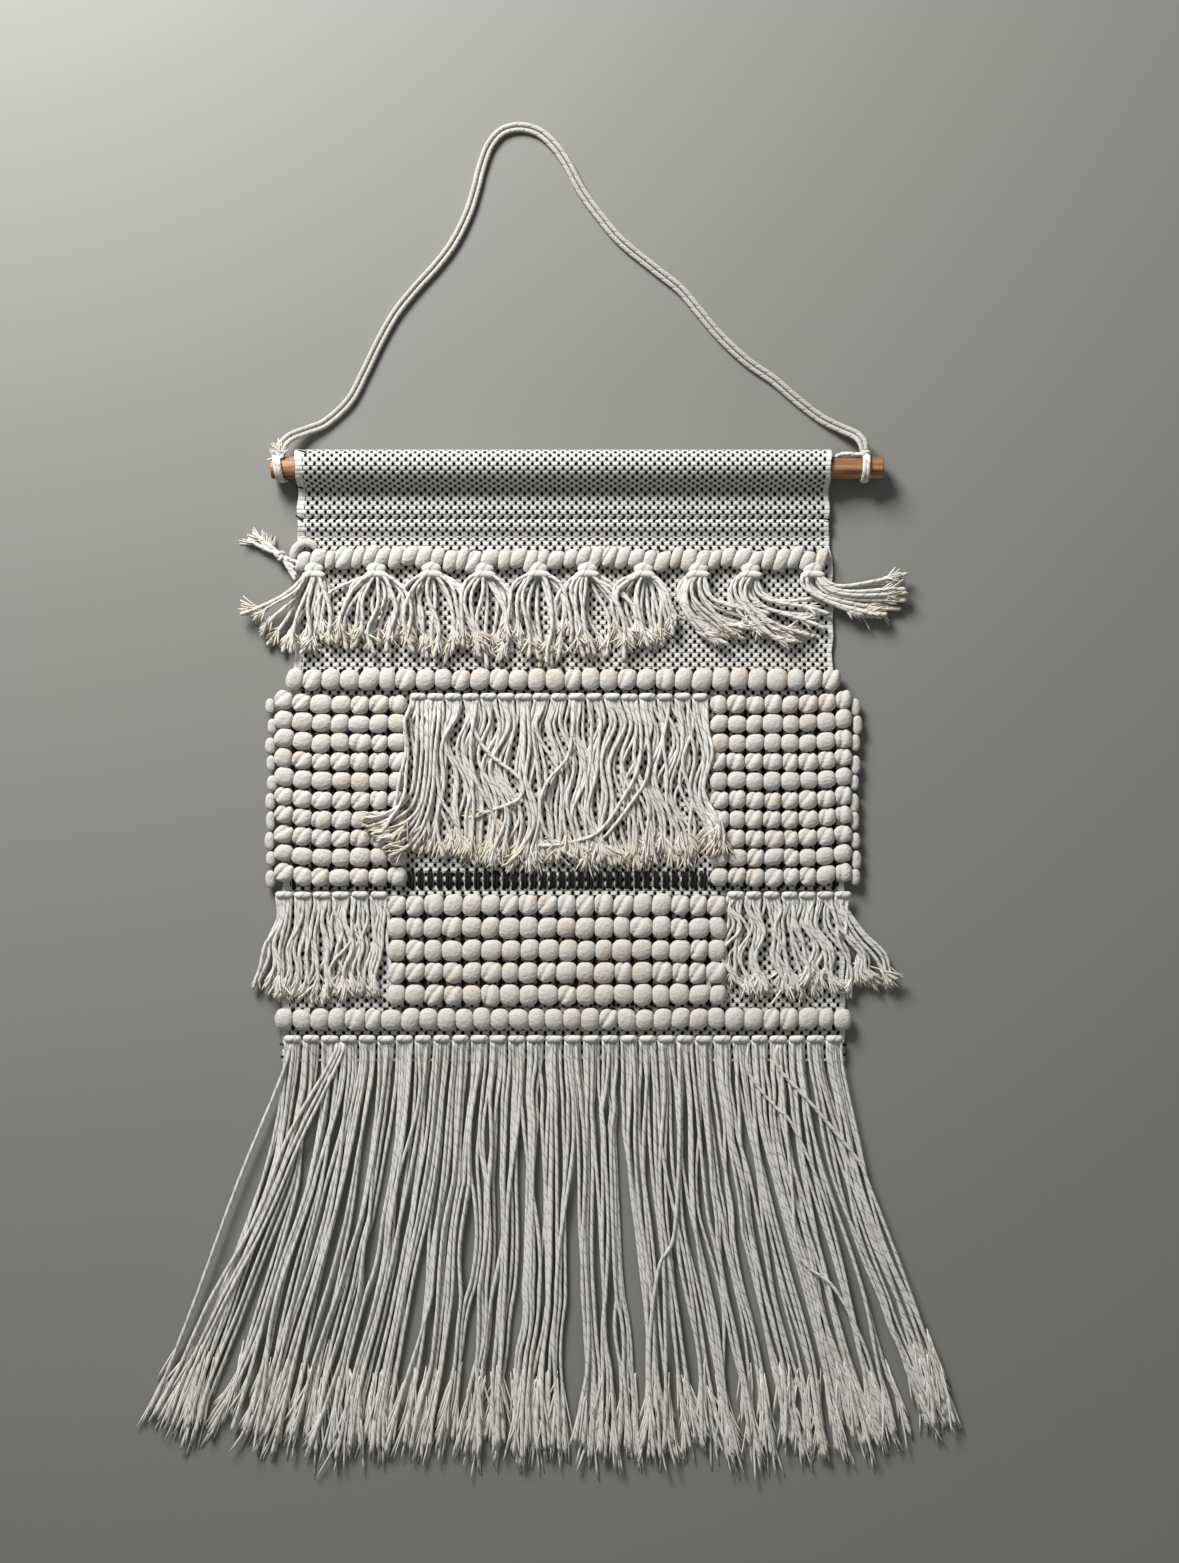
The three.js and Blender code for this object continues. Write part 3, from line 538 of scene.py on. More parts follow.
shaded = add(plain_weave, "Mix", {0: lit_weft, 6: linear("#8D8A81"), 7: cream.outputs[2]},
             data_type="RGBA")
woven = add(plain_weave, "Mix", {0: warp_shows, 6: shaded.outputs[2], 7: linear("#121110")},
            data_type="RGBA")
sunk = add(plain_weave, "Math", {0: warp_shows, 1: -0.7, 2: packed},
           operation="MULTIPLY_ADD")
relief_height = add(plain_weave, "Math", {0: fibres, 1: 0.25, 2: sunk},
                    operation="MULTIPLY_ADD")
cloth_bump = add(plain_weave, "Bump", {"Height": relief_height, "Strength": 0.5,
                                                 "Distance": 0.0005})
cloth_look = add(plain_weave, "BsdfPrincipled", {
    "Base Color": woven.outputs[2], "Roughness": 0.95, "Specular IOR Level": 0.15, "Sheen Weight": 0.15,
    "Normal": cloth_bump})
add(plain_weave, "OutputMaterial", {"Surface": cloth_look})


def steps_between(start, end, step):
    return np.linspace(start, end, max(2, round(abs(end - start) / step) + 1))[1:]


FINE, COARSE = 0.9, 4.0  # millimetres between points along the cloth
sleeve_rows = [(SLEEVE_JOIN, SLEEVE_LOW, 0, -1)]
sleeve_rows += [(d, SLEEVE_LOW, 0, -1) for d in steps_between(SLEEVE_JOIN, FOLD_DOWN, COARSE)]
for angle in np.radians(np.linspace(-90, -270, 32)[1:]):
    c, s = math.cos(angle), math.sin(angle)
    sleeve_rows.append((FOLD_DOWN + SLEEVE_RADIUS * c, SLEEVE_LOW + SLEEVE_RADIUS * (1 + s), c, s))
front_line = spline([(0, down, high) for down, high in (
    (FOLD_DOWN, 17.2), (10.4, 17.2), (14.2, 15.7), (17.6, 12.8), (19.6, 9.2), (21.4, 5.8), (24.0, 4.2),
    (28.0, 4.4), (33.0, 5.0), (36.6, 4.7), (39.0, 3.4), (41.2, 4.7), (44.0, 4.4), (46.2, 3.6),
    (48.0, 2.4), (51.0, 2.1))], 60)[1:]
way = np.gradient(front_line, axis=0)
for (_, d, h), (_, wd, wh) in zip(front_line, way):
    size = math.hypot(wd, wh)
    sleeve_rows.append((d, h, -wh / size, wd / size))
sleeve = cloth_slab("sleeve_cloth", sleeve_rows, np.full(len(sleeve_rows), HEADER_HALF), 0.0)
sleeve.data.materials.append(plain_weave)
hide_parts("rod_sleeve")

# The weave is fine where it shows and coarse under the rows.
body_downs = [CLOTH_START]
for end, step in ((57, FINE), (66, COARSE), (128, FINE), (240, COARSE), (256, FINE), (336, COARSE),
                  (CLOTH_END, FINE)):
    body_downs.extend(steps_between(body_downs[-1], end, step))
body_half = np.interp(
    body_downs, [CLOTH_START, CLOTH_TOP_DOWN, TOP_ROW_DOWN, UPPER_ROW_DOWN, FULL_WIDTH_DOWN, CLOTH_END],
    [HEADER_HALF, HEADER_HALF, BAND_HALF, BAND_HALF, BLOCK_HALF, BLOCK_HALF])
body = cloth_slab("body_cloth", [(d, CLOTH_THICK + 0.1, 0, 1) for d in body_downs], body_half, 20.0)
body.data.materials.append(plain_weave)
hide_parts("woven_cloth")
for piece in (sleeve, body):
    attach(piece, "weaving")

# ---- Yarn rows ---------------------------------------------------------------------------------------
# Thick soft tubular cotton yarn laid in by hand, over two warps and under one, so that each row is a line
# of plump lobes with a tight waist between; where the yarn twists, a crease crosses the lobe.
YARN_BOTTOM, YARN_TOP = 2.15, 8.6
CLOTH_FACE = 2.05
LOBE_STEPS, LOBE_SIDES = 22, 26
LOBE_PITCH = 10.6
UPPER_HALF, BOTTOM_HALF = 160.5, 167.0  # half a row's length
BOTTOM_ROW_DOWN = 328.3
BLOCK_DOWN, BLOCK_PITCH = 146.5, 11.05  # first row and spacing of the two blocks at the sides
BLOCK_LEFT, BLOCK_RIGHT = -90.0, 84.6  # their inner ends
LOWER_DOWN, LOWER_PITCH = 262.5, 12.95  # the five rows in the middle
LOWER_LEFT, LOWER_RIGHT = -101.8, 94.6
EDGE_TURN_OUT = 168.4  # across from the middle to the yarn's turns at a block's edge


def meet(gap, reach):
    """The valley where two round bodies meet: 1 on the line between them and 0 beyond its reach."""
    return 1 - np.sqrt(1 - (1 - np.clip(np.abs(gap) / reach, 0, 1)) ** 2)


def yarn_lobes(name, line, width, pitch, seed, lean=0.0, creased=0.5, droop=0.0, uneven=0.07, plump=2.4,
               waist=0.34):
    """A row of lobes along [across, down] points; lean tips each lobe's top to the right."""
    rng = np.random.default_rng(seed)
    fine = spline([(x, FOLD - down, 0) for x, down in line], 200)
    along = np.concatenate([[0], np.cumsum(np.linalg.norm(np.diff(fine, axis=0), axis=1))])
    lobes = max(1, round(along[-1] / pitch))
    cuts = np.linspace(0, along[-1], lobes + 1)
    cuts[1:-1] += rng.normal(0, 0.045, lobes - 1) * pitch * uneven / 0.07
    k = np.repeat(np.arange(lobes), LOBE_STEPS)
    f = np.tile(np.sin(math.pi / 2 * np.linspace(-1, 1, LOBE_STEPS, endpoint=False)), lobes)
    k, f = np.append(k, lobes - 1), np.append(f, 1.0)
    middle, half = (cuts[k] + cuts[k + 1]) / 2, (cuts[k + 1] - cuts[k]) / 2
    s = middle + half * f
    centre = np.stack([np.interp(s, along, fine[:, i]) for i in range(2)], 1)
    way = np.stack([np.interp(s, along, np.gradient(fine[:, i], along)) for i in range(2)], 1)
    way /= np.linalg.norm(way, axis=1, keepdims=True)
    side = np.stack([-way[:, 1], way[:, 0]], 1)
    swell = waist + (1 - waist) * np.clip(1 - np.abs(f) ** plump, 0, 1) ** 0.5
    end_fade = np.clip(np.minimum(s, along[-1] - s) / (0.28 * pitch), 0, 1)
    swell = swell * np.where(end_fade < 1, 0.12 + 0.88 * np.sqrt(1 - (1 - end_fade) ** 2), 1)
    wide = width / 2 * rng.uniform(1 - uneven, 1 + 0.8 * uneven, lobes)[k]
    tall = (YARN_TOP - YARN_BOTTOM) / 2 * rng.uniform(0.88, 1.0, lobes)[k]
    shift = rng.normal(0, 0.25, lobes)[k] - droop * rng.uniform(0, 1, lobes)[k]
    tip_by = (lean + rng.normal(0, 0.07, lobes))[k]
    turn = np.arange(LOBE_SIDES) * 2 * math.pi / LOBE_SIDES
    ca, sa = np.cos(turn), np.sin(turn)
    ex = np.sign(ca) * np.abs(ca) ** 0.97
    across = (wide * swell)[:, None] * ex + shift[:, None] * (swell[:, None] > 0.5)
    z = (tall * swell)[:, None] * sa
    x_in = (half * f)[:, None]
    slope = rng.uniform(0.95, 1.35, lobes)[k, None]
    off = rng.uniform(-0.24, -0.08, lobes)[k, None] * pitch
    bend = rng.uniform(-0.3, 0.5, lobes)[k, None]
    gap = (x_in - off) * np.sin(slope) - across * np.cos(slope) - bend * across * np.abs(across) / width
    twisted = (rng.uniform(0, 1, lobes) < creased)[k, None] * rng.uniform(0.7, 1.1, lobes)[k, None]
    valley = twisted * meet(gap, 3.1)
    z = z + np.clip(sa + 0.35, 0, 1) * (twisted * 0.5 * np.tanh(gap / 2) - 2.5 * valley) * swell[:, None]
    across = across * (1 - 0.2 * valley)
    nod = np.sin(2.1 * x_in + 1.7 * across + seed) * 0.10
    sink = (1 - swell)[:, None] * 0.9
    high = YARN_BOTTOM + (YARN_TOP - YARN_BOTTOM) / 2 + z - sink + nod
    flat = centre[:, None] + side[:, None] * across[..., None]
    flat = flat + way[:, None] * (tip_by[:, None] * across)[..., None]
    rings = np.concatenate([flat, np.maximum(high, CLOTH_FACE)[..., None]], 2)
    return skin(name, rings[None], soft_yarn)


# Soft tubular cotton yarn: off-white and matt with a faint warm cast here and there, fine ribs along the
# fibre and a little down on the surface.
soft_yarn = blank("soft_cotton_yarn")
place = add(soft_yarn, "TexCoord")
cast = add(soft_yarn, "TexNoise", {"Vector": place.outputs["Object"], "Scale": 75.0, "Detail": 2.0})
warm = add(soft_yarn, "MapRange", {"Value": cast, "From Min": 0.55, "From Max": 0.75})
tone = add(soft_yarn, "Mix", {0: warm, 6: linear("#CAC6BE"), 7: linear("#C6BAA9")},
           data_type="RGBA")
down_nap = add(soft_yarn, "TexNoise", {"Vector": place.outputs["Object"], "Scale": 900.0, "Detail": 4.0})
ribs_way = add(soft_yarn, "Mapping", {"Vector": place.outputs["UV"], "Scale": (0.35, 14.0, 1.0)})
ribs = add(soft_yarn, "TexNoise", {"Vector": ribs_way, "Scale": 1.0, "Detail": 2.0})
nap = add(soft_yarn, "Math", {0: down_nap, 1: 0.5, 2: ribs},
          operation="MULTIPLY_ADD")
soft_bump = add(soft_yarn, "Bump", {"Height": nap, "Strength": 0.7, "Distance": 0.0009})
soft_look = add(soft_yarn, "BsdfPrincipled", {
    "Base Color": tone.outputs[2], "Roughness": 0.95, "Specular IOR Level": 0.15, "Sheen Weight": 0.15,
    "Sheen Roughness": 0.5, "Normal": soft_bump})
add(soft_yarn, "OutputMaterial", {"Surface": soft_look})

def full_row(name, half, down, width, pitch, seed, **look):
    """A row that runs across the whole cloth."""
    return yarn_lobes(name, [(-half, down), (0, down), (half, down)], width, pitch, seed, **look)


rows = {
    "top_row": full_row("top_yarn", HEADER_HALF, TOP_ROW_DOWN, 12.4, 7.6, 21, lean=0.3, creased=0.1,
                        droop=3.2, uneven=0.14, plump=2.3, waist=0.5),
    "upper_row": full_row("upper_yarn", UPPER_HALF, UPPER_ROW_DOWN, 12.4, LOBE_PITCH, 22, lean=0.08,
                          creased=0.35),
    "bottom_row": full_row("bottom_yarn", BOTTOM_HALF, BOTTOM_ROW_DOWN, 12.6, LOBE_PITCH, 23, lean=0.05,
                           creased=0.3),
}
for i, twisted in enumerate((0.75, 0.1, 0.1, 0.95, 0.1, 0.95, 0.8, 0.9, 0.2, 0.7)):
    down = BLOCK_DOWN + BLOCK_PITCH * i
    for side, edge, end in (("left", BLOCK_LEFT, -BOTTOM_HALF), ("right", BLOCK_RIGHT, BOTTOM_HALF)):
        run = end - edge
        line = [(edge, down), (edge + 0.6 * run, down), (edge + 0.85 * run, down - 4 / 3), (end, down - 4)]
        line = line[::-1] if side == "left" else line
        rows[f"{side}_row_{i + 1:02d}"] = yarn_lobes(
            f"{side}_yarn_{i + 1:02d}", line, 10.6, 11.0, 100 + 17 * i + (side == "left"), lean=0.06,
            creased=twisted)
for i, twisted in enumerate((0.75, 0.3, 0.15, 0.6, 0.2)):
    down = LOWER_DOWN + LOWER_PITCH * i
    rows[f"lower_row_{i + 1}"] = yarn_lobes(
        f"lower_yarn_{i + 1}", [(LOWER_LEFT, down), (0, down), (LOWER_RIGHT, down)], 12.3, 10.9, 300 + i,
        lean=0.06, creased=twisted)


def edge_loops(name, out, seed):
    """The yarn's turns from row to row at a block's outer edge: short upright lobes beside the row ends."""
    rng = np.random.default_rng(seed)
    t = np.linspace(-1, 1, 18)
    lines, radii = [], []
    for i in range(10):
        down = BLOCK_DOWN + BLOCK_PITCH * i + 1.2 + rng.normal(0, 0.5)
        half = rng.uniform(4.2, 5.6)
        x = out * (EDGE_TURN_OUT + rng.uniform(-0.6, 1.2) + 0.5 * (1 - t * t))
        lines.append(np.stack([x, FOLD - (down + half * t), 4.3 + 0.4 * t ** 2], 1))
        radii.append(rng.uniform(2.5, 3.1) * np.sqrt(np.clip(1 - np.abs(t) ** 2.6, 0.02, 1)))
    radii = np.array(radii)
    return skin(name, tube(np.array(lines), radii, 18, high=radii * 0.75), soft_yarn)


left_turns = edge_loops("left_edge_turns", -1, 31)
# The top row's left end curls back over the cloth.
CURL_STEPS = 36
curl = spline([(-156.6, FOLD - 63.0, 4.4), (-155.2, FOLD - 57.2, 4.6), (-150.6, FOLD - 53.4, 4.9),
               (-145.4, FOLD - 53.8, 4.9), (-142.4, FOLD - 57.6, 4.6)], CURL_STEPS)
curl_radius = 2.5 * np.sqrt(np.clip(1 - np.abs(np.linspace(-1, 1, CURL_STEPS)) ** 5, 0.03, 1))[None]
curl = skin("top_row_end_curl", tube(curl[None], curl_radius, 16, high=curl_radius * 0.8), soft_yarn)
right_turns = edge_loops("right_edge_turns", 1, 32)
for node, piece in rows.items():
    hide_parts(node)
for piece in (left_turns, curl, right_turns, *rows.values()):
    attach(piece, "weaving")

# ---- Black warps -------------------------------------------------------------------------------------
# The cotton warps that show where the thick rows are tied down: thin black threads running down between
# the lobes, and bare floats, two side by side, in the strip under the centre fringe.
STRIP_DOWN, STRIP_RUN = 243.2, 9.2
STRIP_PITCH = 5.45
black_cotton = blank("black_cotton_thread")
place = add(black_cotton, "TexCoord")
lint = add(black_cotton, "TexNoise", {"Vector": place.outputs["Object"], "Scale": 1200.0, "Detail": 2.0})
dull = add(black_cotton, "Mix", {0: lint, 6: linear("#0E0D0C"), 7: linear("#2A2826")},
           data_type="RGBA")
thread_bump = add(black_cotton, "Bump", {"Height": lint, "Strength": 0.4,
                                                   "Distance": 0.0002})
thread_look = add(black_cotton, "BsdfPrincipled", {"Base Color": dull.outputs[2], "Roughness": 0.9,
                                                             "Normal": thread_bump})
add(black_cotton, "OutputMaterial", {"Surface": thread_look})


def threads(name, lines, radius, sides=6):
    """Thin threads along lines of (x, down, height) points, all with as many points."""
    lines = np.array(lines, float)
    lines[..., 1] = FOLD - lines[..., 1]
    return skin(name, tube(lines, np.full(lines.shape[:2], radius), sides), black_cotton)


rng = np.random.default_rng(5)
ties = []
for first, last, count, top, bottom in (
        (-BOTTOM_HALF, BLOCK_LEFT, 8, 142, 253), (BLOCK_RIGHT, BOTTOM_HALF, 9, 142, 253),
        (LOWER_LEFT, LOWER_RIGHT, 19, 257, 321), (-UPPER_HALF, UPPER_HALF, 31, 126, 138),
        (-BOTTOM_HALF, BOTTOM_HALF, 32, 322, 334), (-HEADER_HALF, HEADER_HALF, 39, 57, 66)):
    for x in np.linspace(first, last, count)[1:-1]:
        for shift in (-0.5, 0.6):
            d = np.linspace(top, bottom, 40)
            sway = 0.25 * np.sin(d * 0.4 + x)
            ties.append(np.stack([x + shift + sway, d, 3.6 + 0.4 * np.sin(d * 0.57)], 1))
ties = threads("row_warps", ties, 0.55)
floats = []
for x in np.arange(-88, 90, STRIP_PITCH):
    for shift, start in ((-1.0, STRIP_DOWN), (0.9, STRIP_DOWN + 0.4)):
        d = start + np.linspace(0, STRIP_RUN, 14) + rng.uniform(-0.3, 0.3)
        z = 2.2 + 1.6 * np.sin(np.linspace(0, math.pi, 14)) ** 0.6
        floats.append(np.stack([x + shift + rng.normal(0, 0.15) + 0 * d, d, z], 1))
floats = threads("strip_warps", floats, 0.85, sides=8)

# ---- Sleeve stitching --------------------------------------------------------------------------------
# Black cotton thread run through both layers of the sleeve in a plain running stitch, its ends left
# standing out at the sides. The same thread holds the cloth's lower corners.
SEAM_DOWN, STITCH_PITCH, STITCH_LONG = 39.0, 5.0, 1.5
stitches = []
t = np.linspace(0, 1, 12)
for x in np.arange(-151.8, 152, STITCH_PITCH):
    z = 3.1 + 0.9 * np.sin(math.pi * t) ** 0.5
    stitches.append(np.stack([x + STITCH_LONG * t, SEAM_DOWN + 0 * t + rng.normal(0, 0.15), z], 1))
for points in ([(-154.6, 37.2, 4.2), (-150.4, 40.6, 4.8)], [(153.8, 39.8, 4.2), (150.0, 39.4, 5.0)],
               [(-154.4, 20.6, 3.6), (-150.2, 22.0, 6.6)]):
    stitches.append(spline([*points[:1], tuple(np.mean(points, 0) + [0, 0, 0.9]), *points[1:]], 12))
stitches.append(spline([(-152.4, 1.2, 12.6), (-149.5, 1.6, 14.2), (-147.0, 2.6, 15.4)], 12))
stitching = threads("sleeve_stitches", stitches, 0.45)
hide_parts("sleeve_stitching")
edge_stitches = threads("tab_stitches", [spline(line, 12) for line in (
    [(-164.0, 343.0, 2.6), (-160.9, 343.6, 3.4), (-158.2, 345.0, 2.4)],
    [(-163.6, 350.4, 2.4), (-161.2, 350.0, 3.2), (-158.8, 350.8, 2.4)],
    [(158.6, 344.0, 2.4), (161.0, 343.2, 3.3), (163.8, 343.6, 2.6)],
    [(158.2, 349.0, 2.4), (161.0, 349.6, 3.3), (163.8, 348.8, 2.4)])], 0.6)
for piece in (ties, floats, stitching, edge_stitches):
    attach(piece, "weaving")

# ---- Strings for tassels and fringes -----------------------------------------------------------------
# Cut lengths of cotton string, doubled and looped on with a lark's head knot: a flat band on top with the
# string's two halves coming out under it. The cut ends have opened into a soft brush of fibres.
STRING_RADIUS = 1.3


def waves(rng, count, steps, size, low, high):
    """Slow sideways wander of each strand, zero at its root."""
    t = np.linspace(0, 1, steps)[None]
    total = np.zeros((count, steps))
    for k in range(3):
        cycles = rng.uniform(low, high, (count, 1))
        total += rng.normal(0, size / (k + 1), (count, 1)) * np.sin(
            2 * math.pi * cycles * t + rng.uniform(0, 2 * math.pi, (count, 1)))
    return (total - total[:, :1]) * np.minimum(1, t / 0.12)


def lie_down(roots, tips, steps, pull, tip_turn, first_way=(0.0, -1.0), hang=0.0, end_way=(0.0, -1.0)):
    """Flat centre lines (strands, steps, 2) that leave their roots one way and bend towards their tips;
    hang is how far their ends turn from that line to end_way."""
    roots, tips = np.asarray(roots, float), np.asarray(tips, float)
    run = np.linalg.norm(tips - roots, axis=1, keepdims=True)
    way = (tips - roots) / run * (1 - hang) + np.array(end_way) * hang
    way /= np.linalg.norm(way, axis=1, keepdims=True)
    c, s = np.cos(tip_turn)[:, None], np.sin(tip_turn)[:, None]
    way = np.concatenate([way[:, :1] * c - way[:, 1:] * s, way[:, :1] * s + way[:, 1:] * c], 1)
    a, b = roots + np.array(first_way) * run * pull, tips - way * run * pull
    t = np.linspace(0, 1, steps)[None, :, None]
    return ((1 - t) ** 3 * roots[:, None] + 3 * (1 - t) ** 2 * t * a[:, None]
            + 3 * (1 - t) * t * t * b[:, None] + t ** 3 * tips[:, None])


def strings(name, flat, heights, rng, brush, brush_length, spread, floor, open_from, tan=0.8,
            radius=STRING_RADIUS, fibre=0.42, back=4.0):
    """Strings along flat lines at given heights, each opening into a brush of fibres, as one piece."""
    count, steps = flat.shape[:2]
    lines = np.concatenate([flat, heights[..., None]], 2)
    t = np.linspace(0, 1, steps)
    opened = np.clip((t - open_from) / (1 - open_from), 0, 1)
    thick = radius * (1 + 0.22 * opened) * rng.uniform(0.9, 1.08, (count, 1))
    thick = thick * np.where(t > 0.985, 0.55, 1)
    tint = np.clip((t - 0.55) / 0.45, 0, 1)[None] ** 1.6 * tan * rng.uniform(0.2, 1.0, (count, 1))
    shape = tube(lines, thick, 8, lobes=2, depth=0.2, lay=9.0, phase=rng.uniform(0, 6, (count, 1)))
    string = skin(name, shape, cotton_string, tips=tint)
    ends = lines[:, int(open_from * (steps - 1))]
    way = lines[:, -1] - ends
    way[:, 2] = 0
    way /= np.linalg.norm(way, axis=1, keepdims=True)
    line, fibre_radius = fray(ends, way, rng, brush, brush_length, spread, floor, fibre, -0.05, back)
    warm = np.repeat(tint[:, -1:], brush, 0) * np.linspace(0.7, 1, line.shape[1])[None]
    return join(name, [string, skin(name + "_ends", tube(line, fibre_radius, 4), cotton_fibres, tips=warm)])


def bands(name, places, width, tall, height, rng, arch=0.0):
    """Lark's head bands: short flat loops of string over (x, down) places."""
    places = np.asarray(places, float)
    t = np.linspace(-1, 1, 15)
    lines = np.zeros((len(places), 15, 3))
    wide = width / 2 * rng.uniform(0.93, 1.05, (len(places), 1))
    lines[:, :, 0] = places[:, :1] + wide * t
    lines[:, :, 1] = FOLD - places[:, 1:] - arch * t ** 2 + rng.normal(0, 0.12, (len(places), 1))
    lines[:, :, 2] = height - 1.5 * np.abs(t) ** 3
    round_end = np.sqrt(np.clip(1 - np.abs(t) ** 6, 0.02, 1))[None] * np.ones((len(places), 1))
    return skin(name, tube(lines, tall / 2 * round_end, 12, high=1.7 * round_end, lobes=2, depth=0.06,
                           lay=14.0, phase=rng.uniform(0, 6, (len(places), 1))), cotton_string)


# ---- Yarn tail ---------------------------------------------------------------------------------------
# The end of the top row's yarn: plies that leave the row's left end, are knotted with string from the
# first tassel, and open into a frayed tip on the floor.
rng = np.random.default_rng(8)
TAIL_ROOTS = (-154.5, 72), (-155.5, 68), (-153, 64.5), (-155, 74.5)  # across and down
TAIL_TIPS = (-176.5, 49), (-182.5, 50.5), (-170, 52.5), (-180, 47)
tail_knot = np.array([-163.5, FOLD - 60.3])
tail_roots = np.array([(x, FOLD - down) for x, down in TAIL_ROOTS])
tail_tips = np.array([(x, FOLD - down) for x, down in TAIL_TIPS])
routes = [spline([(*r, 4.6), (*((r + tail_knot) / 2 + [0.4, -0.6]), 4.8), (*tail_knot, 4.4),
                  (*((t + tail_knot) / 2 + rng.normal(0, 1, 2)), 3.0), (*t, 2.2)], 40)
          for r, t in zip(tail_roots, tail_tips)]
routes = np.array(routes)
tail = strings("yarn_tail_string", routes[:, :, :2], routes[:, :, 2], rng, brush=10, brush_length=9.0,
               spread=0.35, open_from=0.88, floor=0.6)
tail = join("yarn_tail_string", [tail, knot_ball("tail_knot", (-163.8, FOLD - 60.4, 5.0), 2.7)])
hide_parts("yarn_tail")
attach(tail, "weaving")

# ---- Tassels -----------------------------------------------------------------------------------------
# Ten tassels knotted on under the top row. Each hangs from a cap of two wraps; on the floor their
# strings fan out and lie over each other, the last one flung out to the right.
TASSEL_TOP = 66.9
TASSELS = [  # x, then the tips: left, lowest and right, as across and down from the fold
    (-144.0, (-187.6, 90.5), (-152.6, 118.7), (-137.0, 95.0)),
    (-108.0, (-138.4, 103.0), (-113.8, 116.0), (-93.7, 104.0)),
    (-76.2, (-95.0, 106.0), (-72.4, 121.0), (-58.5, 103.0)),
    (-45.8, (-60.0, 114.0), (-43.0, 121.0), (-30.0, 111.0)),
    (-14.6, (-33.0, 108.0), (-13.0, 123.8), (3.6, 114.0)),
    (13.9, (-1.4, 108.0), (23.5, 122.6), (42.6, 111.0)),
    (46.3, (33.0, 107.0), (50.0, 116.0), (69.0, 102.0)),
    (77.8, (84.0, 104.0), (100.0, 108.0), (120.0, 90.0)),
    (108.0, (118.0, 104.0), (138.0, 109.0), (159.0, 86.0)),
    (144.0, (172.0, 95.0), (194.0, 90.0), (198.0, 70.0)),
]
SWEPT = {  # the right-hand tassels: which way their ends point, how fully, and how far they bulge left first
    6: ((0.7, -0.7), 0.5, -0.2), 7: ((1.0, -0.2), 0.8, -0.9),
    8: ((1.0, -0.1), 0.85, -0.9), 9: ((1.0, 0.1), 0.6, -0.1),
}
TASSEL_STRANDS, TASSEL_STEPS = 15, 34
for i, (x, left, low_tip, right) in enumerate(TASSELS):
    rng = np.random.default_rng(50 + i)
    s = np.linspace(0.02, 0.98, TASSEL_STRANDS) + rng.normal(0, 0.03, TASSEL_STRANDS)
    s = s[:, None]
    left, low_tip, right = (np.array([a, FOLD - d]) for a, d in (left, low_tip, right))
    middle = 2 * low_tip - (left + right) / 2
    tips = (1 - s) ** 2 * left + 2 * s * (1 - s) * middle + s * s * right
    fling = 0.35 if i == 9 else 1.0
    tips = tips + rng.normal(0, 1.5, tips.shape) * [1, 1.3 * fling]
    roots = np.stack([x + (s[:, 0] - 0.5) * 9.5, np.full(TASSEL_STRANDS, FOLD - TASSEL_TOP - 4.6)], 1)
    end_way, hang, bulge = SWEPT.get(i, ((0.0, -1.0), 0.9 if i else 0.0, 0.0))
    pull = 0.46 if 0 < i < 9 else 0.34
    turn_out = (s - 0.5) * (4.4 if 0 < i < 7 else 1.6) + bulge
    first = np.concatenate([turn_out, -np.ones_like(s)], 1)
    first /= np.linalg.norm(first, axis=1, keepdims=True)
    flat = lie_down(roots, tips, TASSEL_STEPS, pull, rng.normal(0, 0.22 * fling, TASSEL_STRANDS),
                    first_way=first, hang=hang, end_way=end_way)
    flat[:, :, 0] += waves(rng, TASSEL_STRANDS, TASSEL_STEPS, 1.1 * fling, 0.5, 1.6)
    flat[:, :, 1] += waves(rng, TASSEL_STRANDS, TASSEL_STEPS, 0.35, 0.5, 1.6)
    t = np.linspace(0, 1, TASSEL_STEPS)[None]
    layer = rng.permutation(TASSEL_STRANDS) % 3
    arch = rng.uniform(0.6, 2.4, TASSEL_STRANDS)[:, None]
    height = 3.3 + 2.1 * layer[:, None] * (1 - 0.15 * t) + arch * np.sin(math.pi * t) ** 2 * 0.6
    strands = strings("strands", flat, height, rng, brush=18, brush_length=8.0, spread=0.36, floor=2.4,
                      open_from=0.84, tan=0.9, radius=1.2, fibre=0.5, back=5.0)
    caps = [bands("cap", [(x, TASSEL_TOP + 0.9)], 9.6, 6.6, 7.0, rng, arch=2.6),
            bands("cap", [(x, TASSEL_TOP + 4.4)], 14.2, 4.4, 7.6, rng, arch=1.7)]
    label = f"tassel_{i + 1:02d}"  # the CAD node's name
    tassel = join(label + "_strings", [strands, *caps])
    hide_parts(label)
    out_way = np.array([x, FOLD - TASSEL_TOP]) - (left + right + low_tip) / 3
    out_way /= -np.linalg.norm(out_way)
    if 0 < i < 7:
        out_way = np.array([0.0, -1.0])
    start = np.array([x, FOLD - TASSEL_TOP]) + out_way * 3
    end = start + out_way * 11
    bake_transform(tassel)
